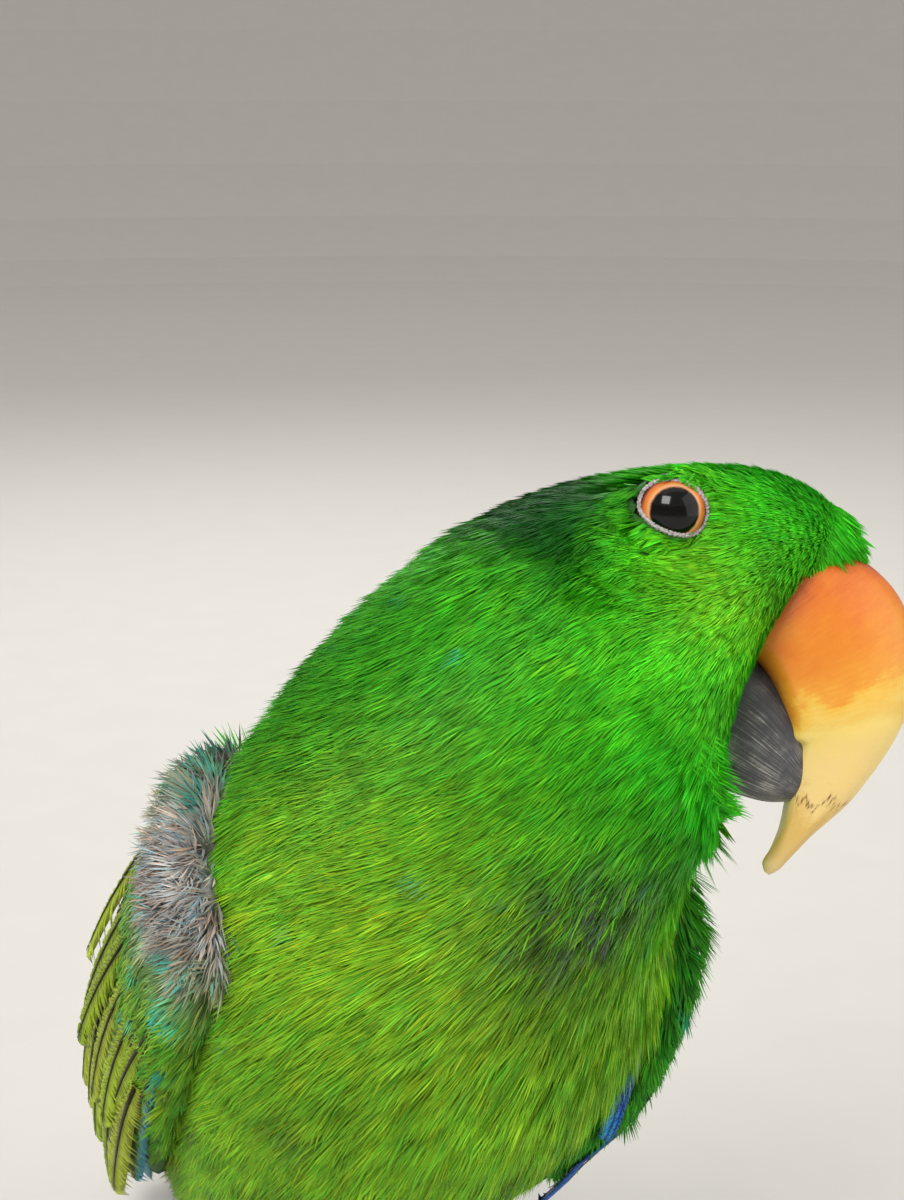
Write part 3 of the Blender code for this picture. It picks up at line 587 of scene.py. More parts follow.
def guide(places):
    """The form that each place lies on, its row and degrees there, and the way its feathers lie."""
    samples, forms, rows, turns, flows = [], [], [], [], []

    def note(form, sheet, u, v, lift, way):
        samples.append(sheet.at(u, v, lift))
        forms.append(np.full(u.shape, form))
        rows.append(u)
        turns.append(v)
        flows.append(unit(sheet.read(sheet.along, u, v) * way))

    u, v = [g.ravel() for g in np.meshgrid(np.linspace(0.5, 15.9, 150), np.arange(0, 360, 5.0))]
    note(0, BODY, u, v, 0 * u, -1)
    for side in (1, -1):
        u, v = [g.ravel() for g in np.meshgrid(np.linspace(0.1, 3.9, 40), np.arange(0, 360, 12.0))]
        note(1, THIGHS[side], u, v, 0 * u, 1)
        outline = np.array(WING_FLESH, float)
        for k in np.linspace(0, 5, 60):
            t, low, high, thick = rows_at(outline, k)
            f = np.linspace(0, 1, 33)
            bulge = np.sqrt(np.maximum(1 - (2 * f - 1) ** 4, 0))
            note(2, WINGS[side], np.full(33, t), low + (high - low) * f, thick * 0.72 * (0.15 + 0.85 * bulge), 1)
            # over the front of the wing the feathers climb away from the body first
            flows[-1] = unit(flows[-1] + 0.4 * unit(WINGS[side].read(WINGS[side].out, rows[-1], turns[-1])))
    samples, forms, rows, turns, flows = (np.concatenate(x) for x in (samples, forms, rows, turns, flows))
    tree = KDTree(len(samples))
    for i, p in enumerate(samples):
        tree.insert(p, i)
    tree.balance()
    near = np.array([[hit[1] for hit in tree.find_n(p, 6)] for p in places])
    flow = unit(flows[near].mean(1))
    first = near[:, 0]
    # below the gape the feathers of the cheek turn downwards
    forward, up, _ = in_head(places)
    fall = smooth(-up, 8, 24) * smooth(forward, -14, 8) * 0.62 * (rows[first] > 8) * (forms[first] == 0)
    flow = unit(flow * (1 - fall)[:, None] + (HEAD_TURNED @ np.array((0, 0.35, -1.0))) * fall[:, None])
    return forms[first], rows[first], turns[first], flow


GROUND = {}


def ground():
    """The skin, made ready once."""
    if "skin" not in GROUND:
        GROUND["skin"] = Ground(bpy.data.objects["skin"])
    return GROUND["skin"]


def on_right(row, x):
    """True where a place lies on the bird's right of its back's middle line."""
    return x < np.interp(row, [0, 1, 2, 3, 5], [24, 20.5, 14.8, 10.8, 7])


def unwrap(form, row, turn, right):
    """Where a root lies on the flat unwrap of the skin: body, left and right thigh, left and right wing."""
    low, high = WING_DEGREES
    limb = np.where(form == 1, 0.5 + np.mod(turn, 360) / 360 * 0.11, 0.74 + (turn - low) / (high - low) * 0.11)
    x = np.where(form == 0, turn / 360 * 0.48, limb + 0.12 * right)
    y = np.where(form == 0, row / 16, np.where(form == 1, row / 4, row / 7))
    return np.stack([0.01 + 0.98 * np.clip(x, 0, 1), 0.01 + 0.98 * np.clip(y, 0, 1)], -1)


def grow(heap, draw, face, roots, tints, slant=0.0, length=5.0, half_width=1.5, lift=(0.0, 1.5), barbs=9, strand=0.11,
         cup=0.4, root_shade=0.5, unruly=0.08, fan=1.0, ragged=0.0, base_tint=None, way=None):
    """Grow one small feather of curved barbs at each root, lying along the skin."""
    skin = ground()
    n = len(face)
    if n == 0:
        return
    out = skin.out[face]
    lie = skin.flow[face] if way is None else np.broadcast_to(way, out.shape)
    lie = unit(lie - out * (lie * out).sum(-1, keepdims=True))
    turn = np.radians(np.broadcast_to(np.asarray(slant, float), (n,)) + draw.normal(0, 6, n))
    side = np.cross(out, lie)
    lie = lie * np.cos(turn)[:, None] + side * np.sin(turn)[:, None]
    over = np.cross(lie, out)

    def each(value, low=1.0, high=1.0):
        return (np.broadcast_to(np.asarray(value, float), (n,)) * draw.uniform(low, high, n))[:, None]

    length, half_width = each(length, 0.8, 1.15), each(half_width, 0.85, 1.15)
    low, high = each(lift[0]), each(lift[1], 0.8, 1.15)
    spread = np.linspace(-1, 1, barbs) + draw.normal(0, 0.6 / barbs, (n, barbs))
    root_y = 0.55 * (1 - np.abs(spread)) * draw.uniform(0.5, 1.1, (n, barbs))
    root_x = spread * (1 - fan) * 0.8
    tip_x = np.sin(spread * 1.35) * draw.uniform(0.85, 1.1, (n, barbs))
    tip_y = 0.45 + 0.55 * np.cos(spread * 1.2) * draw.uniform(0.85 - ragged, 1.08 + ragged, (n, barbs))
    mid_x = root_x + (tip_x - root_x) * 0.66
    mid_y = root_y + (tip_y - root_y) * 0.5
    part = np.stack([root_y, mid_y, tip_y], -1)
    x = np.stack([root_x, mid_x, tip_x], -1) * half_width[..., None]
    y = part * length[..., None]
    flat = roots[:, None, None] + x[..., None] * over[:, None, None] + y[..., None] * lie[:, None, None]
    spots, ups = skin.laid(flat)
    ups = unit(ups + out[:, None, None] * 0.6)
    rise = low[..., None] + (high - low)[..., None] * np.clip(part, 0, 1.2) ** 0.8
    stray = draw.normal(0, 1, (n, barbs, 1)) * each(unruly)[..., None] * part
    rise = rise - cup * (x / np.maximum(half_width[..., None], 0.1)) ** 2 + stray
    line = spots + ups * rise[..., None]
    run = unit(line[:, :, 2] - line[:, :, 0])
    wide = unit(np.cross(run, ups[:, :, 1])) * strand * draw.uniform(0.75, 1.25, (n, barbs, 1))
    middle = line[:, :, 1] + ups[:, :, 1] * strand * 0.5
    places = np.stack([line[:, :, 0], middle - wide, middle + wide, line[:, :, 2]], 2)
    part = np.stack([part[..., 0], part[..., 1], part[..., 1], part[..., 2]], -1)
    shade = root_shade + (1 - root_shade) * smooth(part, 0.05, 0.6)
    shade = shade * np.clip(draw.normal(0.98, 0.2, (n, barbs, 1)), 0.4, 1.4)
    colours = tints[:, None, None, :] * shade[..., None]
    colours = colours * (1 + draw.normal(0, 0.22, (n, barbs, 1, 1)) * np.array((1.0, 0.05, -0.4)))
    if base_tint is not None:
        grey = (1 - smooth(part, 0.12, 0.5))[..., None] * base_tint[1]
        colours = colours * (1 - grey) + base_tint[0] * grey
    form, row = skin.form[face], skin.row[face]
    right = np.where(form == 1, roots[:, 0] < STANCE[0], on_right(row, roots[:, 0]))
    at = unwrap(form, row, skin.turn[face], right)
    wide_at = np.stack([x[..., 0], x[..., 1], x[..., 1], x[..., 2]], -1) / half_width[..., None]
    spread_at = at[:, None, None, :] + np.stack([wide_at, part * 2 - 1], -1) * PATCH
    faces = (np.arange(n * barbs) * 4)[:, None, None] + SLIVER[None]
    heap.add(places, faces, np.clip(colours, 0, 1), spread_at, part)


def quill(heap, draw, spine, ups, widths, roll, tint, flat, spacing=1.1, lean=32.0, fray=0.5, shaft_tint=None,
          camber=0.6, thickness=0.18):
    """One large feather: a thin cambered vane, its shaft, and the barbs that run out to its edges.

    tint(x, s) gives colours, with x from -1 at the lower edge to 1, and s from 0 at the root to 1.
    """
    samples = len(spine)
    s_at = np.linspace(0, 1, samples)
    along = np.gradient(spine, axis=0)
    over = unit(np.cross(along, ups))
    up = unit(np.cross(over, along))
    tilt = math.radians(roll)
    cross_way = over * math.cos(tilt) + up * math.sin(tilt)
    up = up * math.cos(tilt) - over * math.sin(tilt)
    total = np.linalg.norm(np.diff(spine, axis=0), axis=1).sum()

    def place(x, s, h):
        def read(values):
            return np.stack([np.interp(s, s_at, values[:, i]) for i in range(3)], -1)
        width = widths(s)
        offset = x * width
        lift = h - camber * x * x
        return read(spine) + read(cross_way) * offset[..., None] + read(up) * lift[..., None]

    rows, columns = max(int(total / 6), 5) + 1, 5
    s = np.repeat(np.linspace(0, 0.985, rows)[:, None], columns, 1)
    x = np.repeat(np.linspace(-0.93, 0.93, columns)[None], rows, 0)
    body = np.ones((rows, columns)) * thickness
    body[0] = body[-1] = 0
    body[:, 0] = body[:, -1] = 0
    top, bottom = place(x, s, body), place(x, s, -body)
    index = np.arange(rows * columns).reshape(rows, columns)
    a, b, c, d = index[:-1, :-1], index[:-1, 1:], index[1:, 1:], index[1:, :-1]
    upper = np.concatenate([np.stack([a, b, c], -1).reshape(-1, 3), np.stack([a, c, d], -1).reshape(-1, 3)])
    # the two sides share their rim
    under = index + rows * columns
    rim = body == 0
    under[rim] = index[rim]
    a, b, c, d = under[:-1, :-1], under[:-1, 1:], under[1:, 1:], under[1:, :-1]
    lower = np.concatenate([np.stack([a, c, b], -1).reshape(-1, 3), np.stack([a, d, c], -1).reshape(-1, 3)])
    places = np.concatenate([top.reshape(-1, 3), bottom.reshape(-1, 3)])
    keep = np.concatenate([np.ones(rows * columns, bool), ~rim.ravel()])
    new_index = np.cumsum(keep) - 1
    faces = new_index[np.concatenate([upper, lower])]
    # the underside takes the top's colours at half strength: painted shade
    tints = np.concatenate([tint(x, s).reshape(-1, 3), tint(x, s).reshape(-1, 3) * 0.5])
    spots = flat + np.stack([x, s * 2 - 1], -1).reshape(-1, 2) * PATCH
    heap.add(places[keep], faces, tints[keep], np.concatenate([spots, spots])[keep],
             np.concatenate([s.ravel(), s.ravel()])[keep])

    # barbs, root to tip along each side
    for side in (-1, 1):
        count = max(int(total / spacing), 6)
        root_s = (np.arange(count) + draw.uniform(-0.25, 0.25, count)) / count * 0.97
        reach = widths(np.clip(root_s + 0.06, 0, 1)) * draw.uniform(0.95, 1.05, count)
        advance = reach / math.tan(math.radians(lean)) / total
        tip_s = np.minimum(root_s + advance, 1.0)
        tip_x = side * np.clip(reach * widths(tip_s) / np.maximum(widths(np.clip(root_s + 0.06, 0, 1)), 0.1)
                               + draw.exponential(fray, count) - 0.2, 0.1, None) / np.maximum(widths(tip_s), 0.5)
        tip_x = np.where(np.abs(tip_x) > 1.5, np.sign(tip_x) * 1.5, tip_x)
        mid_s = root_s + (tip_s - root_s) * 0.45
        mid_x = tip_x * 0.55
        half = spacing / total * 0.62
        height = thickness + 0.05
        s = np.stack([root_s, mid_s - half, mid_s + half, mid_s, tip_s], -1)
        x = np.stack([0 * mid_x, mid_x, mid_x, mid_x, tip_x], -1)
        if side > 0:
            s[:, [1, 2]] = s[:, [2, 1]]
        h = np.stack([np.full(count, height)] * 5, -1)
        h[:, 3] += 0.12
        h[:, 4] = 0.05
        places = place(x, np.clip(s, 0, 1), h)
        faces = (np.arange(count) * 5)[:, None, None] + BLADE[None]
        shade = draw.uniform(0.86, 1.12, count)[:, None, None]
        spots = flat + np.stack([x / 1.5, np.clip(s, 0, 1) * 2 - 1], -1) * PATCH
        heap.add(places, faces, np.clip(tint(np.clip(x, -1, 1), s) * shade, 0, 1), spots, s)

    # shaft
    steps = 8
    s = np.linspace(0, 0.96, steps)
    size = np.interp(s, [0, 1], [0.42, 0.1])
    ring = [(-1, 0.15), (1, 0.15), (0, 1.0)]
    tube = np.stack([place(a * size / widths(s), s, thickness + b * size) for a, b in ring], 1)
    faces = []
    for i in range(steps - 1):
        for j in range(3):
            k = (j + 1) % 3
            p, q, r, t = i * 3 + j, i * 3 + k, i * 3 + 3 + k, i * 3 + 3 + j
            faces += [(p, q, r), (p, r, t)]
    faces += [(0, 2, 1), (steps * 3 - 3, steps * 3 - 2, steps * 3 - 1)]
    colour = np.array(shaft_tint if shaft_tint is not None else linear("2A2618"))
    spots = np.repeat((flat + np.stack([0 * s, s * 2 - 1], -1) * PATCH)[:, None], 3, 1)
    heap.add(tube, np.array(faces), np.broadcast_to(colour, tube.shape).copy(), spots, np.repeat(s[:, None], 3, 1))


# Colours of the plumage
GREEN_CHEEK = linear("50D020")
GREEN_CROWN = linear("38C01A")
# painted shade: the green of the nape, darkened as if out of the light
NAPE_GREEN_PAINTED_SHADE = linear("0E5A0E")
GREEN_LORE = linear("74D022")
GREEN_THROAT = linear("22BA16")
GREEN_BREAST = linear("86C42A")
GREEN_LIME = linear("A8DC34")
GREEN_BACK = linear("3A9A1E")
GREEN_BELLY = linear("6A961E")
GREEN_WING = linear("3F9A22")
OLIVE_WING = linear("96B026")
TURQUOISE = linear("2FB89A")
BLUE_EDGE = linear("2E7FDC")
BLUE_DEEP = linear("2644A8")
RED_FLANK = linear("B8201A")
# dark green painted as the shade in the gaps where the coat parts
GAP_SHADE_GREEN = linear("1C3A10")
GREY_BASE = linear("7A7A78")
GREY_DOWN = linear("C8C6C0")
BLACK_WEB = linear("1A1C1E")
TAIL_GREEN = linear("2B8A34")
TAIL_TIP_YELLOW = linear("C8B43C")


def mix(a, b, f):
    """Colours part of the way from a to b."""
    f = np.asarray(f)[..., None]
    return a * (1 - f) + b * f


def plumage_tints(places, form, row, turn):
    """Colours of the small feathers at places on the skin."""
    forward, up, _ = in_head(places)
    belly = smooth(-np.sin(np.radians(turn)), -0.75, 0.2)
    body = mix(GREEN_BACK, GREEN_BREAST, belly)
    body = mix(body, GREEN_BELLY, (1 - smooth(row, 3.0, 5.5)) * belly)
    flank = np.exp(-(((row - 5.2) / 0.8) ** 2 + ((np.abs(turn - 90) - 92) / 9) ** 2))
    body = mix(body, RED_FLANK, flank * 0.8)
    head = mix(GREEN_CHEEK, GREEN_CROWN, smooth(up, -4, 6))
    # the back of the head down to the nape is painted in shade, a dark green
    dark = np.clip(1.35 * smooth(-forward, 3, 14) * smooth(up + 0.25 * forward, -22, -9), 0, 1)
    head = mix(head, NAPE_GREEN_PAINTED_SHADE, dark * (1 - smooth(-forward, 34, 60)))
    lore = np.exp(-(((forward - 11) / 9) ** 2 + ((up + 10) / 6) ** 2))
    under_eye = np.exp(-((forward - 4) / 6) ** 2 - ((up + 3) / 8) ** 2)
    head = mix(head, GREEN_LORE, np.clip(lore * 0.9 + 0.6 * under_eye, 0, 1))
    throat = smooth(forward, -14, 0) * smooth(-up, 22, 34)
    head = mix(head, GREEN_THROAT, throat * 0.8)
    tints = mix(body, head, smooth(row, 7.4, 9.9))
    # the back of the neck is painted darker, as shade, and the middle of the breast a brighter lime
    neck = np.exp(-((row - 8.7) / 1.1) ** 2) * smooth(np.sin(np.radians(turn)), -0.3, 0.5)
    tints = tints * (1 - 0.3 * neck)[..., None]
    tints = mix(tints, GREEN_LIME, blob(places, *LIME_PATCH) * 0.6)
    tints = np.where((form == 1)[..., None], GREEN_BELLY, tints)
    return np.where((form == 2)[..., None], mix(GREEN_WING, GREEN_BACK, np.array(0.4)), tints)


def blob(places, middle, size):
    """1 at a middle, falling off softly round it."""
    return np.exp(-(((places - middle) / size) ** 2).sum(-1) / 2)


def varied(draw, tints, spread, turquoise=0.0):
    """The same colours, each feather a little lighter, darker, bluer or yellower."""
    n = len(tints)
    light = draw.normal(1, spread, n)[:, None]
    lean = draw.normal(0, 0.12, n)[:, None] * np.array((1.0, 0.1, -0.5))
    tints = np.clip(tints * np.clip(light, 0.5, 1.5) * (1 + lean), 0, 1)
    odd = draw.uniform(0, 1, n) < turquoise
    return np.where(odd[:, None], tints * 0.45 + TURQUOISE * light * 0.45, tints)


def new_material(name):
    """A material with an empty node tree but its shader and output."""
    material = bpy.data.materials.new(name)
    material.use_nodes = True
    tree = material.node_tree
    return material, tree, tree.nodes["Principled BSDF"]


def add_node(tree, kind, settings=None, **links):
    """A node with its settings, and its inputs set to values or linked to sockets."""
    node = tree.nodes.new("ShaderNode" + kind)
    for key, value in (settings or {}).items():
        setattr(node, key, value)
    for key, value in links.items():
        numbered = key[0] == "i" and key[1:].isdigit()
        socket = node.inputs[int(key[1:]) if numbered else key.replace("_", " ")]
        if isinstance(value, bpy.types.NodeSocket):
            tree.links.new(value, socket)
        else:
            socket.default_value = value
    return node


def finish_shader(tree, shader, colour, bump=None, **values):
    """Link a colour and a bump to the shader, and set its other values."""
    tree.links.new(colour, shader.inputs["Base Color"])
    if bump:
        tree.links.new(bump.outputs["Normal"], shader.inputs["Normal"])
    for key, value in values.items():
        shader.inputs[key.replace("_", " ")].default_value = value


def ramp(tree, factor, stops):
    """A colour ramp of sRGB hex stops."""
    node = add_node(tree, "ValToRGB", None, Fac=factor)
    bar = node.color_ramp
    while len(bar.elements) < len(stops):
        bar.elements.new(0.5)
    for element, (position, text) in zip(bar.elements, stops):
        element.position = position
        element.color = (*linear(text), 1)
    return node.outputs["Color"]


def multiplied(tree, colour, tone):
    """A colour made lighter or darker by a tone."""
    return add_node(tree, "MixRGB", {"blend_type": "MULTIPLY"}, Fac=1.0, Color1=colour, Color2=tone.outputs["Result"])


def plumage_material(name, roughness, gloss):
    """Contour feathers: keratin barbs, satin, with fine streaks of light and dark along them."""
    material, tree, shader = new_material(name)
    tint = add_node(tree, "Attribute", {"attribute_name": "plumage"})
    place = add_node(tree, "TexCoord")
    # patches 6 mm across where the coat lies a little lighter or darker
    cloud = add_node(tree, "TexNoise", None, Vector=place.outputs["Object"], Scale=170.0, Detail=3.0)
    tone = add_node(tree, "MapRange", None, Value=cloud.outputs["Fac"], i1=0.3, i2=0.7, i3=0.82, i4=1.14)
    colour = multiplied(tree, tint.outputs["Color"], tone)
    finish_shader(tree, shader, colour.outputs["Color"], Roughness=roughness, Specular_IOR_Level=gloss)
    return material


def new_piece(name, places, faces):
    """An object of the given places in millimetres and faces, with its normals outwards."""
    mesh = bpy.data.meshes.new(name)
    mesh.from_pydata(((places + SHIFT) * MM).tolist(), [], faces)
    mesh.update()
    piece = bpy.data.objects.new(name, mesh)
    bpy.context.scene.collection.objects.link(piece)
    outward(piece)
    return piece


def mesh_from_grid(name, grid):
    """A closed mesh over a grid of rings, with a middle point at each end."""
    rows, count = grid.shape[:2]
    places = grid.reshape(-1, 3)
    index = np.arange(rows * count).reshape(rows, count)
    after = np.roll(index, -1, axis=1)
    quads = np.stack([index[:-1], after[:-1], after[1:], index[1:]], -1).reshape(-1, 4).tolist()
    places = np.vstack([places, grid[0].mean(0), grid[-1].mean(0)])
    first, last = rows * count, rows * count + 1
    quads += [(int(after[0, i]), int(index[0, i]), first) for i in range(count)]
    quads += [(int(index[-1, i]), int(after[-1, i]), last) for i in range(count)]
    return new_piece(name, places, quads)


def only(piece=None):
    """Select and activate one object, or none, with everything else deselected."""
    if bpy.context.object and bpy.context.object.mode != "OBJECT":
        bpy.ops.object.mode_set(mode="OBJECT")
    bpy.ops.object.select_all(action="DESELECT")
    if piece:
        piece.select_set(True)
        bpy.context.view_layer.objects.active = piece


def outward(piece):
    """Turn every face of a closed mesh outwards."""
    only(piece)
    bpy.ops.object.mode_set(mode="EDIT")
    bpy.ops.mesh.select_all(action="SELECT")
    bpy.ops.mesh.normals_make_consistent(inside=False)
    bpy.ops.object.mode_set(mode="OBJECT")


def use_modifier(piece, kind, settings):
    """Add a modifier and apply it."""
    only(piece)
    modifier = piece.modifiers.new(kind.title(), kind)
    for key, value in settings.items():
        setattr(modifier, key, value)
    bpy.ops.object.modifier_apply(modifier=modifier.name)


def join(pieces, name):
    """Join objects into the first one."""
    only(pieces[0])
    for piece in pieces[1:]:
        piece.select_set(True)
    bpy.ops.object.join()
    pieces[0].name = name
    return pieces[0]


def wing_flesh_grid(sheet):
    """The fleshy front of a folded wing, inside its feathers."""
    outline = np.array(WING_FLESH, float)
    rings = []
    for k in np.linspace(0, len(outline) - 1, 31):
        t, low, high, thick = rows_at(outline, k)
        f = np.linspace(0, 1, 25)
        bulge = np.sqrt(np.maximum(1 - (2 * f - 1) ** 4, 0))
        degrees = low + (high - low) * f
        outer = sheet.at(np.full(25, t), degrees, thick * 0.72 * (0.15 + 0.85 * bulge) - 0.3)
        inner = sheet.at(np.full(25, t), degrees, np.full(25, -2.0))
        rings.append(np.concatenate([outer, inner[::-1]]))
    return np.array(rings)


def paint(piece, tint_of):
    """Give a mesh the plumage's colours at its points."""
    mesh = piece.data
    places = np.empty(len(mesh.vertices) * 3)
    mesh.vertices.foreach_get("co", places)
    tints = tint_of(places.reshape(-1, 3) / MM - SHIFT)
    layer = mesh.color_attributes.new("plumage", "FLOAT_COLOR", "POINT")
    layer.data.foreach_set("color", np.column_stack([tints, np.ones(len(tints))]).astype(np.float32).ravel())


BODY = body_sheet()
WINGS = {1: wing_sheet(1), -1: wing_sheet(-1)}
THIGHS = {1: thigh_sheet(1), -1: thigh_sheet(-1)}


def eye_frame(side):
    """The middle of an eye, the way it looks, and its own forward and up."""
    middle = head_point(EYE[0], EYE[1], side * EYE[2])
    look = eye_look(side)
    ahead = HEAD_TURNED @ np.array((0, -1.0, 0))
    ahead = unit(ahead - look * (ahead @ look))
    up = HEAD_TURNED @ np.array((0, 0, 1.0))
    up = unit(up - look * (up @ look) - ahead * (up @ ahead))
    return middle, look, ahead, up


def eye_part(places, side, wide, high):
    """Height over the eye's middle, distance from its axis, and 1 on an oval of the given half sizes."""
    middle, look, ahead, up = eye_frame(side)
    away = places - middle
    x, y = away @ ahead, away @ up
    return away @ look, np.hypot(x, y), np.hypot(x / wide, y / high)


def fit_orbits(skin):
    """Draw the skin over the eyeballs, open in an oval."""
    mesh = skin.data
    places = np.empty(len(mesh.vertices) * 3)
    mesh.vertices.foreach_get("co", places)
    places = places.reshape(-1, 3) / MM - SHIFT
    for side in (1, -1):
        look = eye_look(side)
        height, away, oval = eye_part(places, side, OPENING_WIDE + 0.2, OPENING_HIGH + 0.2)
        ball = np.sqrt(np.maximum((EYE_RADIUS + 0.25) ** 2 - away ** 2, 0))
        near = (away < EYE_RADIUS + 0.2) & (height > -2)
        places = places + look * np.where(near & (oval >= 1), np.maximum(ball - height, 0), 0)[:, None]
        places = places + look * np.where(near & (oval < 1), -1.5 - height, 0)[:, None]
    mesh.vertices.foreach_set("co", ((places + SHIFT) * MM).astype(np.float32).ravel())
    mesh.update()


def skin_tints(places):
    """The skin between the feathers: their own colour, in deep shade."""
    form, row, turn, _ = guide(places)
    tints = plumage_tints(places, form, row, turn)
    worn = wing_bend_tints(np.random.default_rng(SEED), places, row, tints)
    small_coverts = (form == 2) & (row < LAST_SMALL_COVERT_ROW)
    return np.where(small_coverts[:, None], worn * 0.55, tints * 0.3)


def skin_material():
    """Feathered skin: matt, in the plumage's own colours, deeply shaded between the feathers."""
    material, tree, shader = new_material("Feathered skin in shade")
    tint = add_node(tree, "Attribute", {"attribute_name": "plumage"})
    place = add_node(tree, "TexCoord")
    # feather bases about 2 mm apart, seen as dark pits between the feathers; their darkness is painted shade in the
    # pits
    pits = add_node(tree, "TexNoise", None, Vector=place.outputs["Object"], Scale=500.0, Detail=2.0)
    tone = add_node(tree, "MapRange", None, Value=pits.outputs["Fac"], i1=0.35, i2=0.65, i3=0.6, i4=1.3)
    colour = multiplied(tree, tint.outputs["Color"], tone)
    bump = add_node(tree, "Bump", None, Strength=0.5, Distance=0.0005, Height=pits.outputs["Fac"])
    finish_shader(tree, shader, colour.outputs["Color"], bump, Roughness=0.75)
    return material


class ParrotPlumageSettings(bpy.types.PropertyGroup):
    face_feather: bpy.props.FloatProperty(
        name="Face feather", description="Length of the smallest feathers, round the bill and the eyes",
        default=3.2 * MM, min=1 * MM, unit="LENGTH")
    neck_feather: bpy.props.FloatProperty(
        name="Neck feather", description="Length of the feathers of the neck", default=9.5 * MM, unit="LENGTH")
    breast_feather: bpy.props.FloatProperty(
        name="Breast feather", description="Length of the feathers of the breast", default=15 * MM, unit="LENGTH")


class ParrotStageSettings(bpy.types.PropertyGroup):
    floor_colour: bpy.props.FloatVectorProperty(
        name="Floor", description="Colour of the studio floor", subtype="COLOR", size=3,
        default=tuple(linear("CFCCC6")))
    light_power: bpy.props.FloatProperty(
        name="Light", description="Power of the main soft light", default=9.0, min=0.0, unit="POWER")


class PARROT_OT_skin(bpy.types.Operator):
    """One skin for the head, neck, body, thighs, wings and tail root"""

    bl_idname = "parrot.skin"
    bl_label = "Skin"

    def execute(self, context):
        parts = [mesh_from_grid("skin_body", BODY.places[6:-1])]
        for side in (1, -1):
            parts.append(mesh_from_grid("skin_thigh", THIGHS[side].places))
            parts.append(mesh_from_grid("skin_wing", wing_flesh_grid(WINGS[side])))
        skin = join(parts, "skin")
        use_modifier(skin, "REMESH", {"mode": "VOXEL", "voxel_size": SKIN_VOXEL * MM, "use_smooth_shade": True})
        use_modifier(skin, "SMOOTH", {"factor": 0.5, "iterations": 3})
        fit_orbits(skin)
        paint(skin, skin_tints)
        skin.data.materials.clear()
        skin.data.materials.append(skin_material())
        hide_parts("head", "neck", "torso", "thigh_left", "thigh_right", "wing_left", "wing_right", "tail")
        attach(skin, "root")
        return {"FINISHED"}


def beak_tree():
    """The two halves of the bill as solids to test places against."""
    trees = []
    for rows in (UPPER_BEAK, LOWER_BEAK):
        piece = mesh_from_grid("test", beak_grid(rows, 60, 40))
        mesh = piece.data
        trees.append(BVHTree.FromPolygons([v.co[:] for v in mesh.vertices], [p.vertices[:] for p in mesh.polygons]))
        bpy.data.objects.remove(piece)
    return trees


def beak_grid(rows, steps, turns):
    """Rings of the bill; the upper bill's sides come down to a cutting edge, and the lower fits inside them."""
    table = row_table(head_rows(rows))
    if rows is LOWER_BEAK:
        table[:, 6] *= 0.87
    t = np.linspace(0, len(table) - 1, steps)
    angle = np.radians(np.arange(turns) * 360 / turns)
    tt, aa = np.repeat(t[:, None], turns, 1), np.repeat(angle[None], steps, 0)
    grid = form_points(table, tt, aa)
    if rows is UPPER_BEAK:
        table[:11, 8] = 4.2
        edge = smooth(-np.sin(aa), 0.0, 0.5)[..., None]
        grid = grid * (1 - edge) + form_points(table, tt, aa) * edge
    return grid


def clear_of_beak(places, trees, gap=0.15):
    """True for places that lie outside the bill."""
    keep = np.ones(len(places), bool)
    for i, p in enumerate((places + SHIFT) * MM):
        for tree in trees:
            spot, normal, _, _ = tree.find_nearest(Vector(p))
            if spot is not None and (Vector(p) - spot).dot(normal) < gap * MM:
                keep[i] = False
    return keep


def clear_of_eyes(places, margin):
    """True for places further than a margin outside the oval of an eye's opening."""
    keep = np.ones(len(places), bool)
    for side in (-1, 1):
        height, _, oval = eye_part(places, side, OPENING_WIDE + margin, OPENING_HIGH + margin)
        keep &= ~((oval < 1) & (height > -3))
    return keep


def flow_patches(places, size, phase):
    """Slow waves over the coat, from -1 to 1, for patches of colour and of parting feathers."""
    p = places / size
    return (np.sin(p[:, 0] * 2.1 + 1.3 * np.sin(p[:, 1] * 1.7 + phase)) * np.cos(p[:, 2] * 1.9 + phase)
            + np.sin(p[:, 1] * 2.7 + p[:, 2] * 1.3 + phase * 2)) / 2


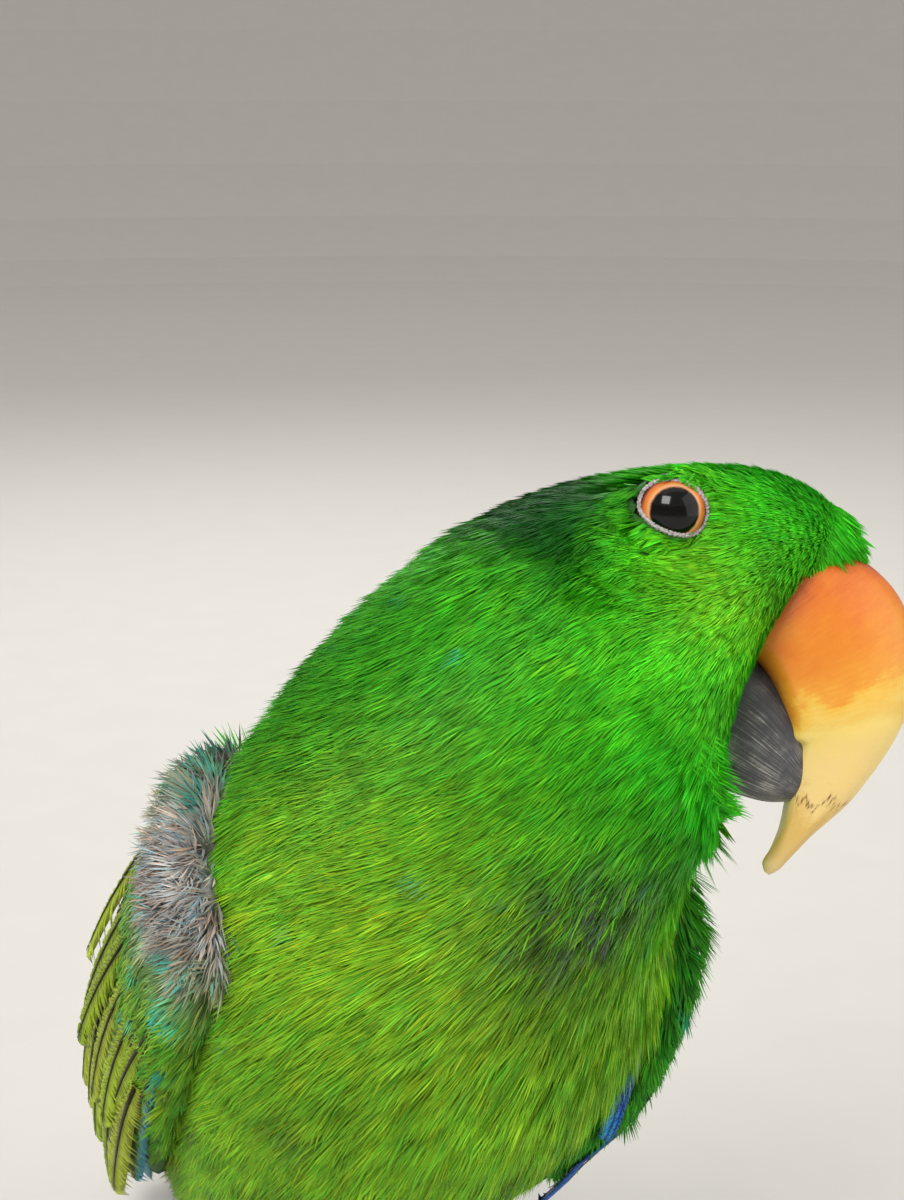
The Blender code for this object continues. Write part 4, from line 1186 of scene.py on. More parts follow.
class PARROT_OT_head_feathers(bpy.types.Operator):
    """Small feathers of the face, crown and cheeks"""

    bl_idname = "parrot.head_feathers"
    bl_label = "Head feathers"

    def execute(self, context):
        draw = np.random.default_rng(SEED)
        material = bpy.data.materials["Head feathers"]
        size = context.scene.parrot_plumage.face_feather / MM
        trees = beak_tree()
        skin = ground()
        centres = skin.places[skin.corners].mean(1)
        forward, up, sideways = in_head(centres)
        left = sideways > 0
        body = skin.form == 0
        front = body & (skin.row >= FACE_ROW)
        crown = body & (skin.row >= CROWN_ROW) & (skin.row < FACE_ROW)
        gap = np.interp(skin.row, *FACE_SPACING)
        for name, wanted, spacing, barbs in (
                ("coat_face_left", front & left, gap * 1.25, 9), ("coat_face_right", front & ~left, gap, 9),
                ("coat_crown_left", crown & left, 1.15, 12), ("coat_crown_right", crown & ~left, 0.85, 12)):
            face, roots = skin.roots(draw, wanted, spacing)
            keep = clear_of_beak(roots, trees) & clear_of_eyes(roots, 0.8)
            face, roots = face[keep], roots[keep]
            row = skin.row[face]
            length = np.interp(row, [CROWN_ROW, 12, 14, 16], [size * 2.5, size * 1.5, size, size * 0.7])
            near_eye = ~clear_of_eyes(roots, 3.2)
            length = np.where(near_eye, length * 0.62, length)
            depth = np.interp(row, *zip(*COAT_DEPTH)) * np.where(near_eye, 0.45, 0.85)
            tints = plumage_tints(roots, skin.form[face], row, skin.turn[face])
            tints = tints * (1 + 0.16 * flow_patches(roots, 7.0, 0.5))[:, None]
            tints = varied(draw, tints, 0.06, 0.0)
            heap = Plumage()
            grow(heap, draw, face, roots, tints, slant=5 * flow_patches(roots, 12.0, 1.9), length=length,
                 half_width=length * 0.24, lift=(-0.15, depth), barbs=barbs, strand=0.085, cup=0.15, root_shade=0.4,
                 unruly=0.07, fan=0.7)
            heap.build(name, material, "green_feathers", False)
        heap = Plumage()
        # tufts that stand over the root of the bill, and the feathers of the chin under it
        for wanted, way, length, spacing, high in (
                (front & (forward > 19) & (up > -4), (0, -1.0, -0.3), 6.4, 0.6, 2.0),
                (body & (skin.row > 9.2) & (up < -28) & (forward > 1), (0, -1.0, -0.42), 8.5, 0.85, 1.3)):
            face, roots = skin.roots(draw, wanted, spacing)
            keep = clear_of_beak(roots, trees)
            face, roots = face[keep], roots[keep]
            tints = plumage_tints(roots, skin.form[face], skin.row[face], skin.turn[face])
            grow(heap, draw, face, roots, varied(draw, tints, 0.1), length=length, half_width=length * 0.2,
                 lift=(0.2, high), barbs=9, strand=0.1, cup=0.1, unruly=0.15, fan=0.7, way=HEAD_TURNED @ np.array(way))
        heap.build("coat_bill_edge", material, "green_feathers", False)
        return {"FINISHED"}


class PARROT_OT_body_feathers(bpy.types.Operator):
    """Feathers of the neck, breast, back, belly, rump, thighs and shoulders"""

    bl_idname = "parrot.body_feathers"
    bl_label = "Body feathers"

    def execute(self, context):
        draw = np.random.default_rng(SEED + 1)
        neck = context.scene.parrot_plumage.neck_feather / MM
        breast = context.scene.parrot_plumage.breast_feather / MM
        material = bpy.data.materials["Body feathers"]
        skin = ground()
        back = np.sin(np.radians(skin.turn)) > 0.1
        for name, first, last, on_back, spacing, barbs in BODY_COATS:
            wanted = (skin.form == 0) & (skin.row >= first) & (skin.row < last) & (back == on_back)
            face, roots = skin.roots(draw, wanted, spacing)
            row, turn = skin.row[face], skin.turn[face]
            length = np.interp(row, [0, 2, 4, 6, 7.5, CROWN_ROW],
                               [9, 11, breast * 0.9, breast, breast * 0.85, neck * 0.85])
            depth = np.interp(row, *zip(*COAT_DEPTH))
            tints = plumage_tints(roots, skin.form[face], row, turn)
            tints = tints * (1 + 0.22 * flow_patches(roots, 16.0, 0.3))[:, None]
            tints = varied(draw, tints, 0.08, 0.006)
            # where the coat parts: on the throat, and in the fringe low on the breast; parted feathers are painted in
            # the dark green of shade in the gaps, mixed with the grey of their bases
            parted = blob(roots, *THROAT_PARTING)
            parted += 0.8 * smooth(flow_patches(roots, 6.5, 2.7), 0.25, 0.8) * np.exp(-((row - 5.7) / 0.8) ** 2)
            parted = np.clip(parted, 0, 1)
            tints = mix(tints, mix(GAP_SHADE_GREEN, GREY_BASE, draw.uniform(0, 0.6, len(roots))),
                        parted * (draw.uniform(0, 1, len(roots)) < 0.55))
            heap = Plumage()
            grow(heap, draw, face, roots, tints,
                 slant=9 * flow_patches(roots, 22.0, 1.1) + draw.normal(0, 16, len(roots)) * parted, length=length,
                 half_width=length * 0.24, lift=(-0.3, depth), barbs=barbs, strand=0.1, cup=0.3, root_shade=0.32,
                 unruly=0.2 + 0.9 * parted, fan=0.75, ragged=0.06, base_tint=(GREY_BASE, 0.35))
            heap.build(name, material, "green_feathers", False)
        for form, name, spacing, length, width, high, barbs, slot in LIMB_COATS:
            wanted = skin.form == form
            if form == 2:
                wanted &= skin.row < LAST_SMALL_COVERT_ROW
            face, roots = skin.roots(draw, wanted, spacing)
            row, turn = skin.row[face], skin.turn[face]
            tints = plumage_tints(roots, skin.form[face], row, turn)
            if form == 2:
                tints = wing_bend_tints(draw, roots, row, tints)
            heap = Plumage()
            grow(heap, draw, face, roots, varied(draw, tints, 0.15, 0.01), length=length, half_width=width,
                 lift=(-0.2, high), barbs=barbs, strand=0.15, cup=0.3, root_shade=0.4, unruly=0.15, ragged=0.06)
            if form == 2:
                # down in the cleft at the front of the right wing
                down = (skin.form == 2) & (skin.row < 1.2) & (skin.places[skin.corners[:, 0], 0] < 0)
                face, roots = skin.roots(draw, down, 1.3)
                grey = np.tile(GREY_BASE, (len(face), 1))
                tints = wing_bend_tints(draw, roots, skin.row[face], grey)
                grow(heap, draw, face, roots, tints, slant=draw.normal(0, 40, len(face)), length=5.5, half_width=2.4,
                     lift=(0.0, 3.2), barbs=11, strand=0.1, cup=-0.2, root_shade=0.6, unruly=0.9, ragged=0.1)
            heap.build(name, material, slot, False)
        return {"FINISHED"}


def wing_bend_tints(draw, roots, row, tints):
    """The bend of the right wing is worn: blackish bases, grey-white down and a few turquoise tips."""
    right = roots[:, 0] < 0
    patch = blob(roots, *WORN_BEND)
    dark = smooth(roots[:, 2], 163, 173) * (1 - smooth(row, 1.5, 1.9))
    mottle = np.clip(draw.normal(0.5, 0.2, len(roots)) + 0.25 * flow_patches(roots, 4.0, 2.2), 0, 1)
    tints = mix(tints, OLIVE_WING, right * 0.6 * draw.uniform(0.3, 1, len(roots)))
    tints = mix(tints, linear("2C2A2C"), right * dark * (mottle > 0.3))
    tints = mix(tints, mix(linear("6A6668"), GREY_DOWN * 1.1, mottle), right * np.clip(patch * 1.5, 0, 1))
    near = blob(roots, *TURQUOISE_SPOT) + np.exp(-((roots[:, 2] - 171) / 4) ** 2)
    odd = right & (row < 2.0) & (draw.uniform(0, 1, len(roots)) < 0.015 + 0.3 * near)
    return np.where(odd[:, None], mix(tints, TURQUOISE, draw.uniform(0.35, 0.9, len(roots))), tints)


def flight_tint(tier, k, side, draw):
    """How one flight feather or covert is coloured across and along its vane."""
    light = draw.normal(1, 0.1)
    lean = draw.uniform(0, 1)

    def tint(x, s):
        x, s = np.asarray(x, float), np.asarray(s, float)
        green = mix(GREEN_WING, OLIVE_WING, np.full(x.shape, 0.15 + 0.5 * lean * (side < 0)))
        lower = smooth(x, -0.25, 0.1)
        if tier == "primary":
            web = mix(BLUE_EDGE, BLUE_DEEP, smooth(s, 0.3, 1.0))
            out = mix(web, BLACK_WEB, 1 - lower)
            out = mix(out, mix(BLUE_DEEP, GREEN_WING, np.full(x.shape, 0.5)), lower * (1 - smooth(s, 0.1, 0.55)))
        elif tier.startswith("loose"):
            out = mix(OLIVE_WING, linear("B6C63C"), np.full(x.shape, lean))
            out = mix(out, linear("3A3C22"), np.clip(1 - np.abs(x) * 2.2, 0, 1) * 0.5)
        elif tier == "rim":
            out = mix(BLUE_DEEP, linear("3AA0DC"), smooth(x * side, -0.5, 0.1))
        elif tier in ("primary_covert", "alula"):
            out = mix(BLUE_EDGE, BLUE_DEEP, lower * 0.5)
            if side < 0:
                out = mix(mix(TURQUOISE, BLUE_EDGE, np.full(x.shape, 0.5)), OLIVE_WING, smooth(x, -0.75, -0.35))
        elif tier == "secondary":
            out = mix(green, BLUE_EDGE, smooth(-x, 0.45, 0.95) * 0.6 * (k < 4))
        else:
            out = green
        bright = light * (0.8 + 0.25 * smooth(s, 0.2, 0.9))
        return np.clip(out * np.asarray(bright)[..., None], 0, 1)

    return tint


class PARROT_OT_wings(bpy.types.Operator):
    """Flight feathers and coverts of the two folded wings"""

    bl_idname = "parrot.wings"
    bl_label = "Wings"

    def execute(self, context):
        draw = np.random.default_rng(SEED + 2)
        for side, word in ((1, "left"), (-1, "right")):
            sheet = WINGS[side]
            flight, coverts = Plumage(), Plumage()
            for tier, (count, lowest, highest) in {**WING_TIERS, **(LOOSE_TIERS if side < 0 else {})}.items():
                for k in range(count):
                    f = k / (count - 1)
                    values = np.array(lowest) + (np.array(highest) - lowest) * f
                    root, tip, width = values[:3], values[3:6], values[6]
                    if tier == "primary":
                        tip[0] += LONGEST_PRIMARY * math.exp(-((f * 6 - 2) / 1.6) ** 2)
                    tip += (draw.uniform(-0.06, 0.06), draw.uniform(-1.5, 1.5), draw.uniform(-0.1, 0.1))
                    loose = tier.startswith("loose")
                    if loose:
                        tip += (draw.uniform(-0.2, 0.2), draw.uniform(-4, 4), draw.uniform(-1.5, 1.5))
                    s = np.linspace(0, 1, 24)
                    t, degrees, height = (root[:, None] + (tip - root)[:, None] * s)
                    spine = sheet.at(t, degrees, height)
                    ups = sheet.read(sheet.out, t, degrees)
                    covert = tier.endswith("covert") or loose
                    shape = (VANE_WIDTH[0], VANE_WIDTH[1] + [0.25 if covert else 0.16])

                    def widths(at, width=width, shape=shape):
                        return width * np.interp(np.clip(at, 0, 1), *shape)

                    quill(coverts if covert or tier == "alula" else flight, draw, spine, ups, widths,
                          -WING_ROLL * side, flight_tint(tier, k, side, draw),
                          unwrap(2, t[0], degrees[0], side < 0),
                          spacing=0.9 if covert else 1.0, fray=1.1 if loose else 0.5)
            if side > 0:
                path = rows_at(np.array(RIM_PATH, float), np.linspace(0, len(RIM_PATH) - 1, 24))
                for out, width in RIM_FEATHERS:
                    quill(coverts, draw, path + np.array((1.0, 0.8, -1.0)) * out, np.tile((0.2, -0.95, 0.2), (24, 1)),
                          lambda at, width=width: width * np.interp(at, [0, 0.2, 0.8, 1], [0.4, 0.9, 1.0, 0.3]), 0.0,
                          flight_tint("rim", 0, side, draw), unwrap(2, 1.4, -25.0, False), spacing=0.8, fray=0.12,
                          shaft_tint=BLUE_DEEP)
            for heap, kind in ((flight, "flight"), (coverts, "coverts")):
                heap.build("wing_%s_%s" % (word, kind), bpy.data.materials["Wing feathers"], "wing_feathers")
        return {"FINISHED"}


class PARROT_OT_tail(bpy.types.Operator):
    """Twelve tail feathers and the coverts over their roots"""

    bl_idname = "parrot.tail"
    bl_label = "Tail"

    def execute(self, context):
        draw = np.random.default_rng(SEED + 3)
        heap = Plumage()
        s = np.linspace(0, 1, 20)[:, None]
        ups = np.broadcast_to(np.array((0, 0.4, 1.0)), (20, 3))

        def feather(root, tip, width, roll, bow, tint, profile, patch):
            spine = root + (tip - root) * s + np.array((0, 0, 1.0)) * bow * 4 * s * (1 - s)
            quill(heap, draw, spine, ups, lambda at: width * np.interp(np.clip(at, 0, 1), *profile), roll, tint,
                  np.array(patch), spacing=1.0, fray=0.45, camber=0.5)

        def rectrix_tint(out):
            def tint(x, along):
                x, along = np.asarray(x, float), np.asarray(along, float)
                colour = mix(TAIL_GREEN, BLUE_DEEP, np.clip(0.15 + abs(out) * 0.14, 0, 0.85) * smooth(along, 0.2, 0.7))
                colour = mix(colour, TAIL_TIP_YELLOW, smooth(along, 0.93, 0.99) * 0.8)
                return np.clip(colour * (0.85 + 0.2 * smooth(x, -1, 1))[..., None], 0, 1)
            return tint

        half = TAIL_FEATHERS // 2
        for k in range(TAIL_FEATHERS):
            out = k - half + 0.5
            level = abs(out) + (0.45 if out < 0 else 0.0)
            root = np.array(TAIL_ROOT) + (out * TAIL_ROOT_SPACING, 0, -TAIL_STEP * level)
            tip = np.array(TAIL_TIP) + (out * TAIL_TIP_SPACING, -0.5 * abs(out), -TAIL_STEP * level)
            feather(root, tip, TAIL_HALF_WIDTH, 0.0, 1.5, rectrix_tint(out),
                    ([0, 0.35, 0.9, 0.97, 1], [0.45, 0.85, 1.0, 0.9, 0.6]), unwrap(0, 0.6, 90.0 - 9 * out, False))
        for way, (count, root, tip, near, far, width) in zip((1, -1), TAIL_COVERTS):
            for k in range(count):
                out = k - (count - 1) / 2
                drop = -0.9 * abs(out) * 0.6 * way
                start = np.array(root) + (out * near, 0, drop * 1.6)
                end = np.array(tip) + (out * far, -3.0 * abs(out) * 0.6, drop * 1.2)
                base = GREEN_BACK if way > 0 else mix(GREEN_BELLY, OLIVE_WING, np.array(0.4))
                feather(start, end, width, -8.0 * way * out / 3, 0.6 * way,
                        lambda x, along, base=base: base * (0.8 + 0.3 * np.asarray(along))[..., None],
                        ([0, 0.45, 0.85, 1], [0.5, 1.0, 0.8, 0.3]), unwrap(0, 1.0, 90.0 * way % 360 - 9 * out, False))
        heap.build("tail_feathers", bpy.data.materials["Tail feathers"], "tail_feathers")
        return {"FINISHED"}


class PARROT_OT_eyes(bpy.types.Operator):
    """Eyeballs with a dark pupil in an orange iris, and their bare lids"""

    bl_idname = "parrot.eyes"
    bl_label = "Eyes and lids"

    def execute(self, context):
        for side, word in ((1, "left"), (-1, "right")):
            middle, look, ahead, up = eye_frame(side)
            only()
            bpy.ops.mesh.primitive_uv_sphere_add(segments=64, ring_count=48, radius=EYE_RADIUS * MM)
            ball = bpy.context.object
            ball.name = "eyeball_" + word
            turn = Vector((0, 0, 1)).rotation_difference(Vector(look)).to_matrix().to_4x4()
            ball.data.transform(Matrix.Translation(Vector((middle + SHIFT) * MM)) @ turn)
            bpy.ops.object.shade_smooth()
            ball.data.materials.append(eye_material(word, middle, look, up))
            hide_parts("eye_" + word)
            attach(ball, "root")

            # lids: a narrow bare ring of small lumps, straighter along its lower edge
            turns, sides = 220, 16
            a = np.arange(turns) * 2 * np.pi / turns
            x = np.cos(a) * (OPENING_WIDE + 0.12)
            y = np.where(np.sin(a) > 0, np.sin(a), -np.abs(np.sin(a)) ** 0.8 * 1.02) * (OPENING_HIGH + 0.12)
            lumps = 1 + 0.16 * np.sin(a * 46) + 0.1 * np.sin(a * 71 + 1)
            b = np.arange(sides) * 2 * np.pi / sides
            rings = []
            for i in range(turns):
                flat_out = unit(ahead * x[i] / OPENING_WIDE ** 2 + up * y[i] / OPENING_HIGH ** 2)
                reach = math.hypot(x[i], y[i])
                spot = ahead * x[i] + up * y[i]
                here = middle + spot + look * math.sqrt(max(EYE_RADIUS ** 2 - reach ** 2, 0.04))
                away = unit(here - middle)
                over = unit(flat_out - away * (flat_out @ away))
                centre = here + over * 0.26 + away * 0.05
                rings.append([centre + (over * math.cos(t) * 0.36 + away * math.sin(t) * 0.3) * lumps[i] for t in b])
            grid = np.array(rings)
            lid = closed_ring("lids_" + word, grid)
            lid.data.materials.append(lid_material())
            bpy.ops.object.shade_smooth()
            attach(lid, "root")
        return {"FINISHED"}


def closed_ring(name, grid):
    """A mesh over a grid that closes on itself both ways."""
    rows, count = grid.shape[:2]
    index = np.arange(rows * count).reshape(rows, count)
    quads = np.stack([index, np.roll(index, -1, 1), np.roll(np.roll(index, -1, 1), -1, 0), np.roll(index, -1, 0)], -1)
    return new_piece(name, grid.reshape(-1, 3), quads.reshape(-1, 4).tolist())


def eye_material(word, middle, look, up):
    """A wet cornea over a near-black pupil and a narrow orange iris, paler inside, dark at its rim."""
    material, tree, shader = new_material("Wet eye " + word)
    place = add_node(tree, "TexCoord")
    # the optical middle lies a little below the middle of the opening
    centre = (middle + look * EYE_RADIUS - up * PUPIL_DROP + SHIFT) * MM
    away = add_node(tree, "VectorMath", {"operation": "DISTANCE"}, i0=place.outputs["Object"], i1=tuple(centre))
    noise = add_node(tree, "TexNoise", None, Vector=place.outputs["Object"], Scale=1400.0, Detail=3.0)
    wobble = add_node(tree, "MapRange", None, Value=noise.outputs["Fac"], i3=-0.00015, i4=0.00015)
    total = add_node(tree, "Math", {"operation": "ADD"}, i0=away.outputs["Value"], i1=wobble.outputs["Result"])
    part = add_node(tree, "MapRange", None, Value=total.outputs["Value"], i1=0.0, i2=6.0 * MM, i3=0.0, i4=1.0)
    colour = ramp(tree, part.outputs["Result"], [
        (0.0, "020202"), (0.575, "030303"), (0.6, "7A4A2C"), (0.64, "E8A878"), (0.72, "E0843C"), (0.8, "D06A28"),
        (0.86, "7A3418"), (0.9, "2A1410")])
    finish_shader(tree, shader, colour, Roughness=0.12, Specular_IOR_Level=0.25, Coat_Weight=0.35,
                  Coat_Roughness=0.02, IOR=1.376)
    return material


def lid_material():
    """Bare lilac-grey skin with a fine warty grain, 0.4 mm apart."""
    found = bpy.data.materials.get("Bare eyelid skin")
    if found:
        return found
    material, tree, shader = new_material("Bare eyelid skin")
    place = add_node(tree, "TexCoord")
    grain = add_node(tree, "TexVoronoi", None, Vector=place.outputs["Object"], Scale=2400.0)
    colour = ramp(tree, grain.outputs["Distance"], [(0.0, "D8CFD2"), (0.45, "B4AAAC"), (1.0, "7A6E62")])
    bump = add_node(tree, "Bump", None, Strength=0.8, Distance=0.0002, Height=grain.outputs["Distance"])
    bump.invert = True
    finish_shader(tree, shader, colour, bump, Roughness=0.6)
    return material


class PARROT_OT_bill(bpy.types.Operator):
    """The hooked upper bill and the dark lower bill"""

    bl_idname = "parrot.bill"
    bl_label = "Bill"

    def execute(self, context):
        for name, rows, node, slot in (("upper_bill", UPPER_BEAK, "beak_upper", "beak_horn"),
                                       ("lower_bill", LOWER_BEAK, "beak_lower", "dark_beak_horn")):
            grid = beak_grid(rows, 170, 120)
            piece = mesh_from_grid(name, grid)
            only(piece)
            bpy.ops.object.shade_smooth()
            for key, values in (("run", np.repeat(np.linspace(0, 1, 170), 120)),
                                ("ridge", np.tile(np.sin(np.arange(120) * 2 * np.pi / 120), 170))):
                layer = piece.data.attributes.new(key, "FLOAT", "POINT")
                layer.data.foreach_set("value", np.append(values, [0, values[-1]]).astype(np.float32))
            piece.data.materials.append(bill_material() if node == "beak_upper" else lower_bill_material())
            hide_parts(node)
            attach(piece, "root")
        return {"FINISHED"}


def bill_coordinates(tree, along, round_it):
    """Noise coordinates that run along the bill and round it, so that growth lines follow its rings."""
    run = add_node(tree, "Attribute", {"attribute_name": "run"}).outputs["Fac"]
    ridge = add_node(tree, "Attribute", {"attribute_name": "ridge"}).outputs["Fac"]
    x = add_node(tree, "Math", {"operation": "MULTIPLY"}, i0=run, i1=along)
    y = add_node(tree, "Math", {"operation": "MULTIPLY"}, i0=ridge, i1=round_it)
    return run, ridge, add_node(tree, "CombineXYZ", None, X=x.outputs["Value"], Y=y.outputs["Value"]).outputs["Vector"]


def bill_material():
    """Keratin of the upper bill: orange, redder at the ridge's base, yellow then cream towards the tip.

    Growth lines run round it about 0.5 mm apart, and a flaked layer has left brown marks above the tip.
    """
    material, tree, shader = new_material("Upper bill keratin")
    run, ridge, lines = bill_coordinates(tree, 150.0, 4.0)
    growth = add_node(tree, "TexNoise", None, Vector=lines, Scale=1.0, Detail=4.0, Roughness=0.65)
    _, _, broad = bill_coordinates(tree, 9.0, 1.6)
    cloud = add_node(tree, "TexNoise", None, Vector=broad, Scale=1.0, Detail=5.0, Roughness=0.6)
    shift = add_node(tree, "MapRange", None, Value=cloud.outputs["Fac"], i1=0.3, i2=0.7, i3=-0.06, i4=0.06)
    fine = add_node(tree, "MapRange", None, Value=growth.outputs["Fac"], i1=0.3, i2=0.7, i3=-0.022, i4=0.022)
    # the orange reaches further down the ridge and the cutting edge than down the sides
    edge = add_node(tree, "Math", {"operation": "ABSOLUTE"}, i0=ridge)
    back = add_node(tree, "MapRange", None, Value=edge.outputs["Value"], i1=0.82, i2=1.0, i3=0.0, i4=-0.12)
    total = run
    for part in (shift.outputs["Result"], fine.outputs["Result"], back.outputs["Result"]):
        total = add_node(tree, "Math", {"operation": "ADD"}, i0=total, i1=part).outputs["Value"]
    colour = ramp(tree, total, [
        (0.04, "B84A1A"), (0.13, "DC701E"), (0.24, "E88A28"), (0.33, "EE9E32"), (0.375, "F2C04A"), (0.47, "F3D676"),
        (0.68, "EECF86"), (0.76, "DCB460"), (0.95, "DCC484")])
    # flaked layer: a wavering line of brown marks
    _, _, wave = bill_coordinates(tree, 2.0, 5.0)
    bend = add_node(tree, "TexNoise", None, Vector=wave, Scale=1.0, Detail=6.0, Roughness=0.75)
    bent = add_node(tree, "MapRange", None, Value=bend.outputs["Fac"], i1=0.2, i2=0.8, i3=0.655, i4=0.735)
    gap = add_node(tree, "Math", {"operation": "SUBTRACT"}, i0=run, i1=bent.outputs["Result"])
    gap = add_node(tree, "Math", {"operation": "ABSOLUTE"}, i0=gap.outputs["Value"])
    mark = add_node(tree, "MapRange", None, Value=gap.outputs["Value"], i1=0.002, i2=0.011, i3=1.0, i4=0.0)
    _, _, spots = bill_coordinates(tree, 60.0, 14.0)
    spot = add_node(tree, "TexNoise", None, Vector=spots, Scale=1.0, Detail=4.0)
    broken = add_node(tree, "MapRange", None, Value=spot.outputs["Fac"], i1=0.45, i2=0.6)
    mark = add_node(tree, "Math", {"operation": "MULTIPLY"}, i0=mark.outputs["Result"], i1=broken.outputs["Result"])
    worn = add_node(tree, "MixRGB", None, Fac=mark.outputs["Value"], Color1=colour, Color2=(*linear("7A5428"), 1))
    height = add_node(tree, "Math", {"operation": "SUBTRACT"}, i0=growth.outputs["Fac"], i1=mark.outputs["Value"])
    bump = add_node(tree, "Bump", None, Strength=0.22, Distance=0.0003, Height=height.outputs["Value"])
    finish_shader(tree, shader, worn.outputs["Color"], bump, Roughness=0.36, Subsurface_Weight=0.12,
                  Subsurface_Radius=(0.004, 0.0015, 0.0006), Subsurface_Scale=0.3)
    return material


def lower_bill_material():
    """Dark grey keratin with pale scratches across it."""
    material, tree, shader = new_material("Lower bill keratin")
    place = add_node(tree, "TexCoord").outputs["Object"]
    _, ridge, lines = bill_coordinates(tree, 3.0, 60.0)
    scratch = add_node(tree, "TexNoise", None, Vector=lines, Scale=1.0, Detail=5.0, Roughness=0.7)
    low = add_node(tree, "MapRange", None, Value=ridge, i1=0.3, i2=-0.9, i3=0.0, i4=0.1)
    chalk = add_node(tree, "TexNoise", None, Vector=place, Scale=420.0, Detail=5.0)
    faint = add_node(tree, "MapRange", None, Value=chalk.outputs["Fac"], i1=0.3, i2=0.7, i3=-0.08, i4=0.08)
    total = add_node(tree, "Math", {"operation": "ADD"}, i0=scratch.outputs["Fac"], i1=low.outputs["Result"])
    total = add_node(tree, "Math", {"operation": "ADD"}, i0=total.outputs["Value"], i1=faint.outputs["Result"])
    colour = ramp(tree, total.outputs["Value"], [
        (0.3, "34343A"), (0.52, "444448"), (0.62, "626060"), (0.7, "9C9894"), (0.8, "CCC8C2")])
    bump = add_node(tree, "Bump", None, Strength=0.3, Distance=0.0002, Height=scratch.outputs["Fac"])
    finish_shader(tree, shader, colour, bump, Roughness=0.45)
    return material


class PARROT_OT_feet(bpy.types.Operator):
    """Scaly grey feet and dark curved claws"""

    bl_idname = "parrot.feet"
    bl_label = "Feet and claws"

    def execute(self, context):
        skin = foot_material()
        horn = claw_material()
        for side, word in ((1, "left"), (-1, "right")):
            _, tarsus, toes, claws = leg_paths(side)
            parts = [mesh_from_grid("foot_part", tube_grid(*tarsus, 40, 40))]
            parts += [mesh_from_grid("foot_part", tube_grid(*toe, 40, 40)) for toe in toes]
            foot = join(parts, "scaly_foot_" + word)
            use_modifier(foot, "REMESH", {"mode": "VOXEL", "voxel_size": FOOT_VOXEL * MM, "use_smooth_shade": True})
            use_modifier(foot, "SMOOTH", {"factor": 0.5, "iterations": 4})
            flatten_soles(foot)
            foot.data.materials.clear()
            foot.data.materials.append(skin)
            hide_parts("foot_" + word)
            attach(foot, "root")
            for k, claw in enumerate(claws):
                piece = mesh_from_grid("claw_%s_%d_horn" % (word, k + 1), tube_grid(*claw, 24, 20))
                bpy.ops.object.shade_smooth()
                piece.data.materials.append(horn)
                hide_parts("claw_%s_%d" % (word, k + 1))
                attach(piece, "root")
        return {"FINISHED"}


def flatten_soles(piece):
    """Set the lowest points of a foot on the floor."""
    count = len(piece.data.vertices)
    places = np.empty(count * 3)
    piece.data.vertices.foreach_get("co", places)
    places = places.reshape(-1, 3)
    places[:, 2] = np.maximum(places[:, 2], 0)
    piece.data.vertices.foreach_set("co", places.ravel())
    piece.data.update()


def foot_material():
    """Grey scaly skin, scales 1.2 mm across with pale rims."""
    material, tree, shader = new_material("Scaly foot skin")
    place = add_node(tree, "TexCoord").outputs["Object"]
    cells = add_node(tree, "TexVoronoi", {"feature": "DISTANCE_TO_EDGE"}, Vector=place, Scale=800.0)
    colour = ramp(tree, cells.outputs["Distance"], [
        (0.0, "9A968E"), (0.06, "7A7876"), (0.3, "6B6A6C"), (1.0, "58585C")])
    bump = add_node(tree, "Bump", None, Strength=0.9, Distance=0.0004, Height=cells.outputs["Distance"])
    finish_shader(tree, shader, colour, bump, Roughness=0.55)
    return material


def claw_material():
    """Dark keratin claw, smooth, faintly streaked along."""
    material, tree, shader = new_material("Claw keratin")
    place = add_node(tree, "TexCoord").outputs["Object"]
    noise = add_node(tree, "TexNoise", None, Vector=place, Scale=700.0, Detail=3.0)
    colour = ramp(tree, noise.outputs["Fac"], [(0.3, "17161A"), (0.6, "2A282C"), (0.8, "4A4642")])
    finish_shader(tree, shader, colour, Roughness=0.3)
    return material


def paper_material(floor_colour):
    """Pale matt paper, with fibres so faint that they only keep it from looking flat."""
    material, tree, shader = new_material("Pale matt paper")
    place = add_node(tree, "TexCoord").outputs["Object"]
    fibres = add_node(tree, "TexNoise", None, Vector=place, Scale=40.0, Detail=4.0)
    tone = add_node(tree, "MapRange", None, Value=fibres.outputs["Fac"], i3=0.97, i4=1.03)
    colour = multiplied(tree, (*floor_colour, 1), tone)
    finish_shader(tree, shader, colour.outputs["Color"], Roughness=0.9)
    return material


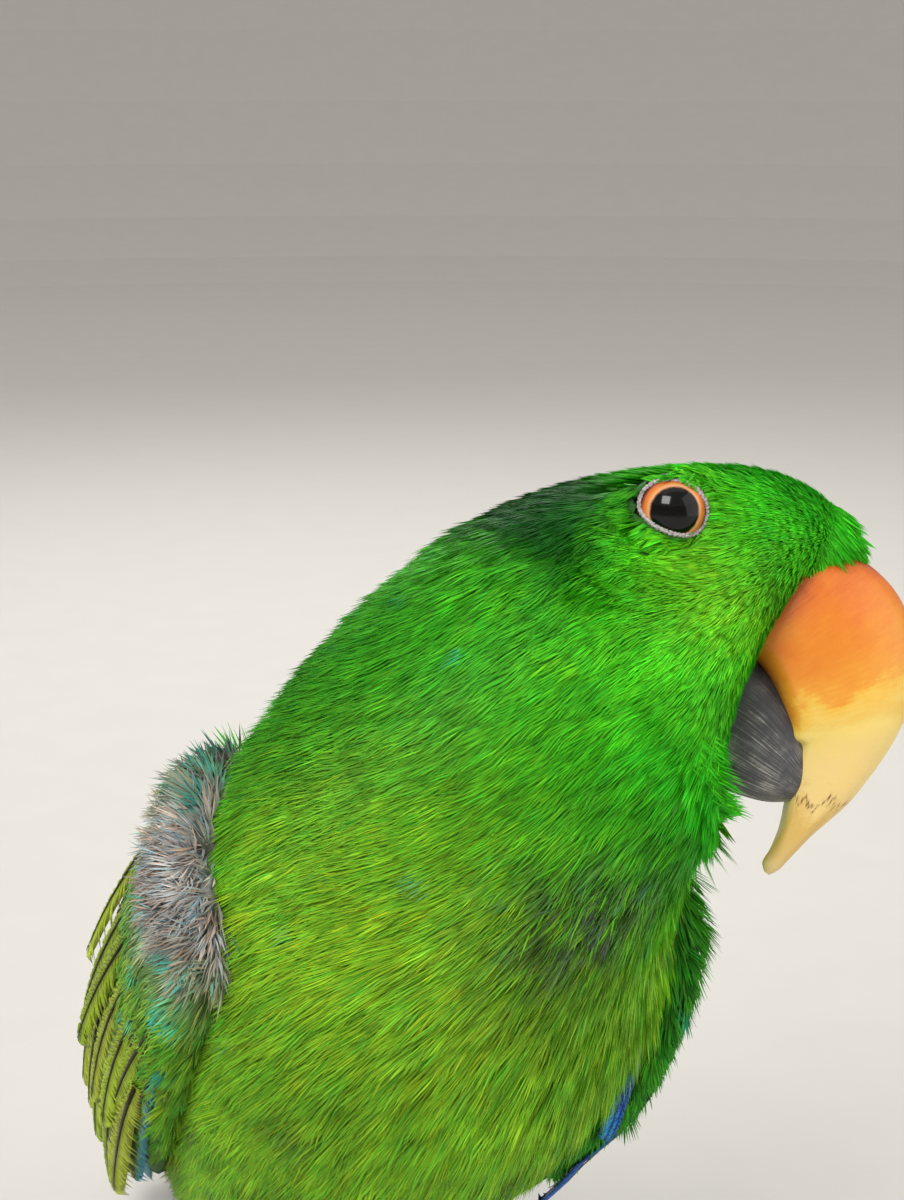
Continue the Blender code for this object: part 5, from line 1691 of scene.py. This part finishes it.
class PARROT_OT_stage(bpy.types.Operator):
    """Pale floor that sweeps up behind the bird, soft lights and the camera"""

    bl_idname = "parrot.stage"
    bl_label = "Stage"

    def execute(self, context):
        settings = context.scene.parrot_stage
        only()
        bpy.ops.mesh.primitive_circle_add(vertices=128, radius=FLOOR_RADIUS, fill_type="NGON")
        floor = bpy.context.object
        bpy.ops.object.mode_set(mode="EDIT")
        bpy.ops.mesh.select_all(action="SELECT")
        # the floor sweeps up into a round wall
        turns = np.radians(np.linspace(0, 90, SWEEP_STEPS + 1))
        for before, turn in zip(turns[:-1], turns[1:]):
            rise = SWEEP_RADIUS * (math.cos(before) - math.cos(turn))
            grown = (FLOOR_RADIUS + SWEEP_RADIUS * math.sin(turn)) / (FLOOR_RADIUS + SWEEP_RADIUS * math.sin(before))
            bpy.ops.mesh.extrude_edges_move(TRANSFORM_OT_translate={"value": (0, 0, rise)})
            bpy.ops.transform.resize(value=(grown, grown, 1))
        bpy.ops.object.mode_set(mode="OBJECT")
        floor.name = "studio_floor"
        floor.data.materials.append(paper_material(settings.floor_colour))
        for name, place, size, part in LIGHTS:
            self.light(name, place, size, settings.light_power * part)
        world = bpy.data.worlds.new("Studio")
        world.use_nodes = True
        world.node_tree.nodes["Background"].inputs["Color"].default_value = (*linear("DAD8D4"), 1)
        world.node_tree.nodes["Background"].inputs["Strength"].default_value = 0.75
        context.scene.world = world
        context.scene.view_settings.view_transform = "Standard"
        camera = bpy.data.objects.new("camera", bpy.data.cameras.new("camera"))
        context.scene.collection.objects.link(camera)
        camera.location = Vector((np.array(CAMERA_PLACE) + SHIFT) * MM)
        camera.rotation_euler = (math.radians(90 - CAMERA_ELEVATION), 0, math.radians(CAMERA_AZIMUTH))
        camera.data.lens = CAMERA_LENS
        camera.data.sensor_width = 36
        camera.data.clip_start = 0.01
        context.scene.camera = camera
        return {"FINISHED"}

    def light(self, name, place, size, power):
        """A soft square light aimed at the bird's breast."""
        lamp = bpy.data.lights.new(name, "AREA")
        lamp.shape = "SQUARE"
        lamp.size = size
        lamp.energy = power
        holder = bpy.data.objects.new(name, lamp)
        bpy.context.scene.collection.objects.link(holder)
        holder.location = place
        aim = Vector(LIGHTS_AIM) - holder.location
        holder.rotation_euler = aim.to_track_quat("-Z", "Y").to_euler()


class PARROT_OT_materials(bpy.types.Operator):
    """Materials that several pieces of plumage share"""

    bl_idname = "parrot.materials"
    bl_label = "Plumage materials"

    def execute(self, context):
        plumage_material("Head feathers", 0.5, 0.12)
        plumage_material("Body feathers", 0.5, 0.12)
        plumage_material("Wing feathers", 0.42, 0.2)
        plumage_material("Tail feathers", 0.42, 0.2)
        return {"FINISHED"}


STEPS = ("materials", "skin", "head_feathers", "body_feathers", "wings", "tail", "eyes", "bill", "feet", "stage")
CLASSES = (ParrotPlumageSettings, ParrotStageSettings, PARROT_OT_materials, PARROT_OT_skin, PARROT_OT_head_feathers,
           PARROT_OT_body_feathers, PARROT_OT_wings, PARROT_OT_tail, PARROT_OT_eyes, PARROT_OT_bill, PARROT_OT_feet,
           PARROT_OT_stage)


class PARROT_PT_panel(bpy.types.Panel):
    """The sizes and the steps in the 3D view's sidebar"""

    bl_label = "Parrot"
    bl_idname = "PARROT_PT_panel"
    bl_space_type = "VIEW_3D"
    bl_region_type = "UI"
    bl_category = "Parrot"

    def draw(self, context):
        for group in (context.scene.parrot_plumage, context.scene.parrot_stage):
            for key in group.__annotations__:
                self.layout.prop(group, key)
        for step in STEPS:
            self.layout.operator("parrot." + step)


def register():
    for each in CLASSES + (PARROT_PT_panel,):
        bpy.utils.register_class(each)
    bpy.types.Scene.parrot_plumage = bpy.props.PointerProperty(type=ParrotPlumageSettings)
    bpy.types.Scene.parrot_stage = bpy.props.PointerProperty(type=ParrotStageSettings)


def unregister():
    del bpy.types.Scene.parrot_stage
    del bpy.types.Scene.parrot_plumage
    for each in reversed(CLASSES + (PARROT_PT_panel,)):
        bpy.utils.unregister_class(each)


def main():
    register()
    for step in STEPS:
        getattr(bpy.ops.parrot, step)()


if __name__ == "__main__":
    main()
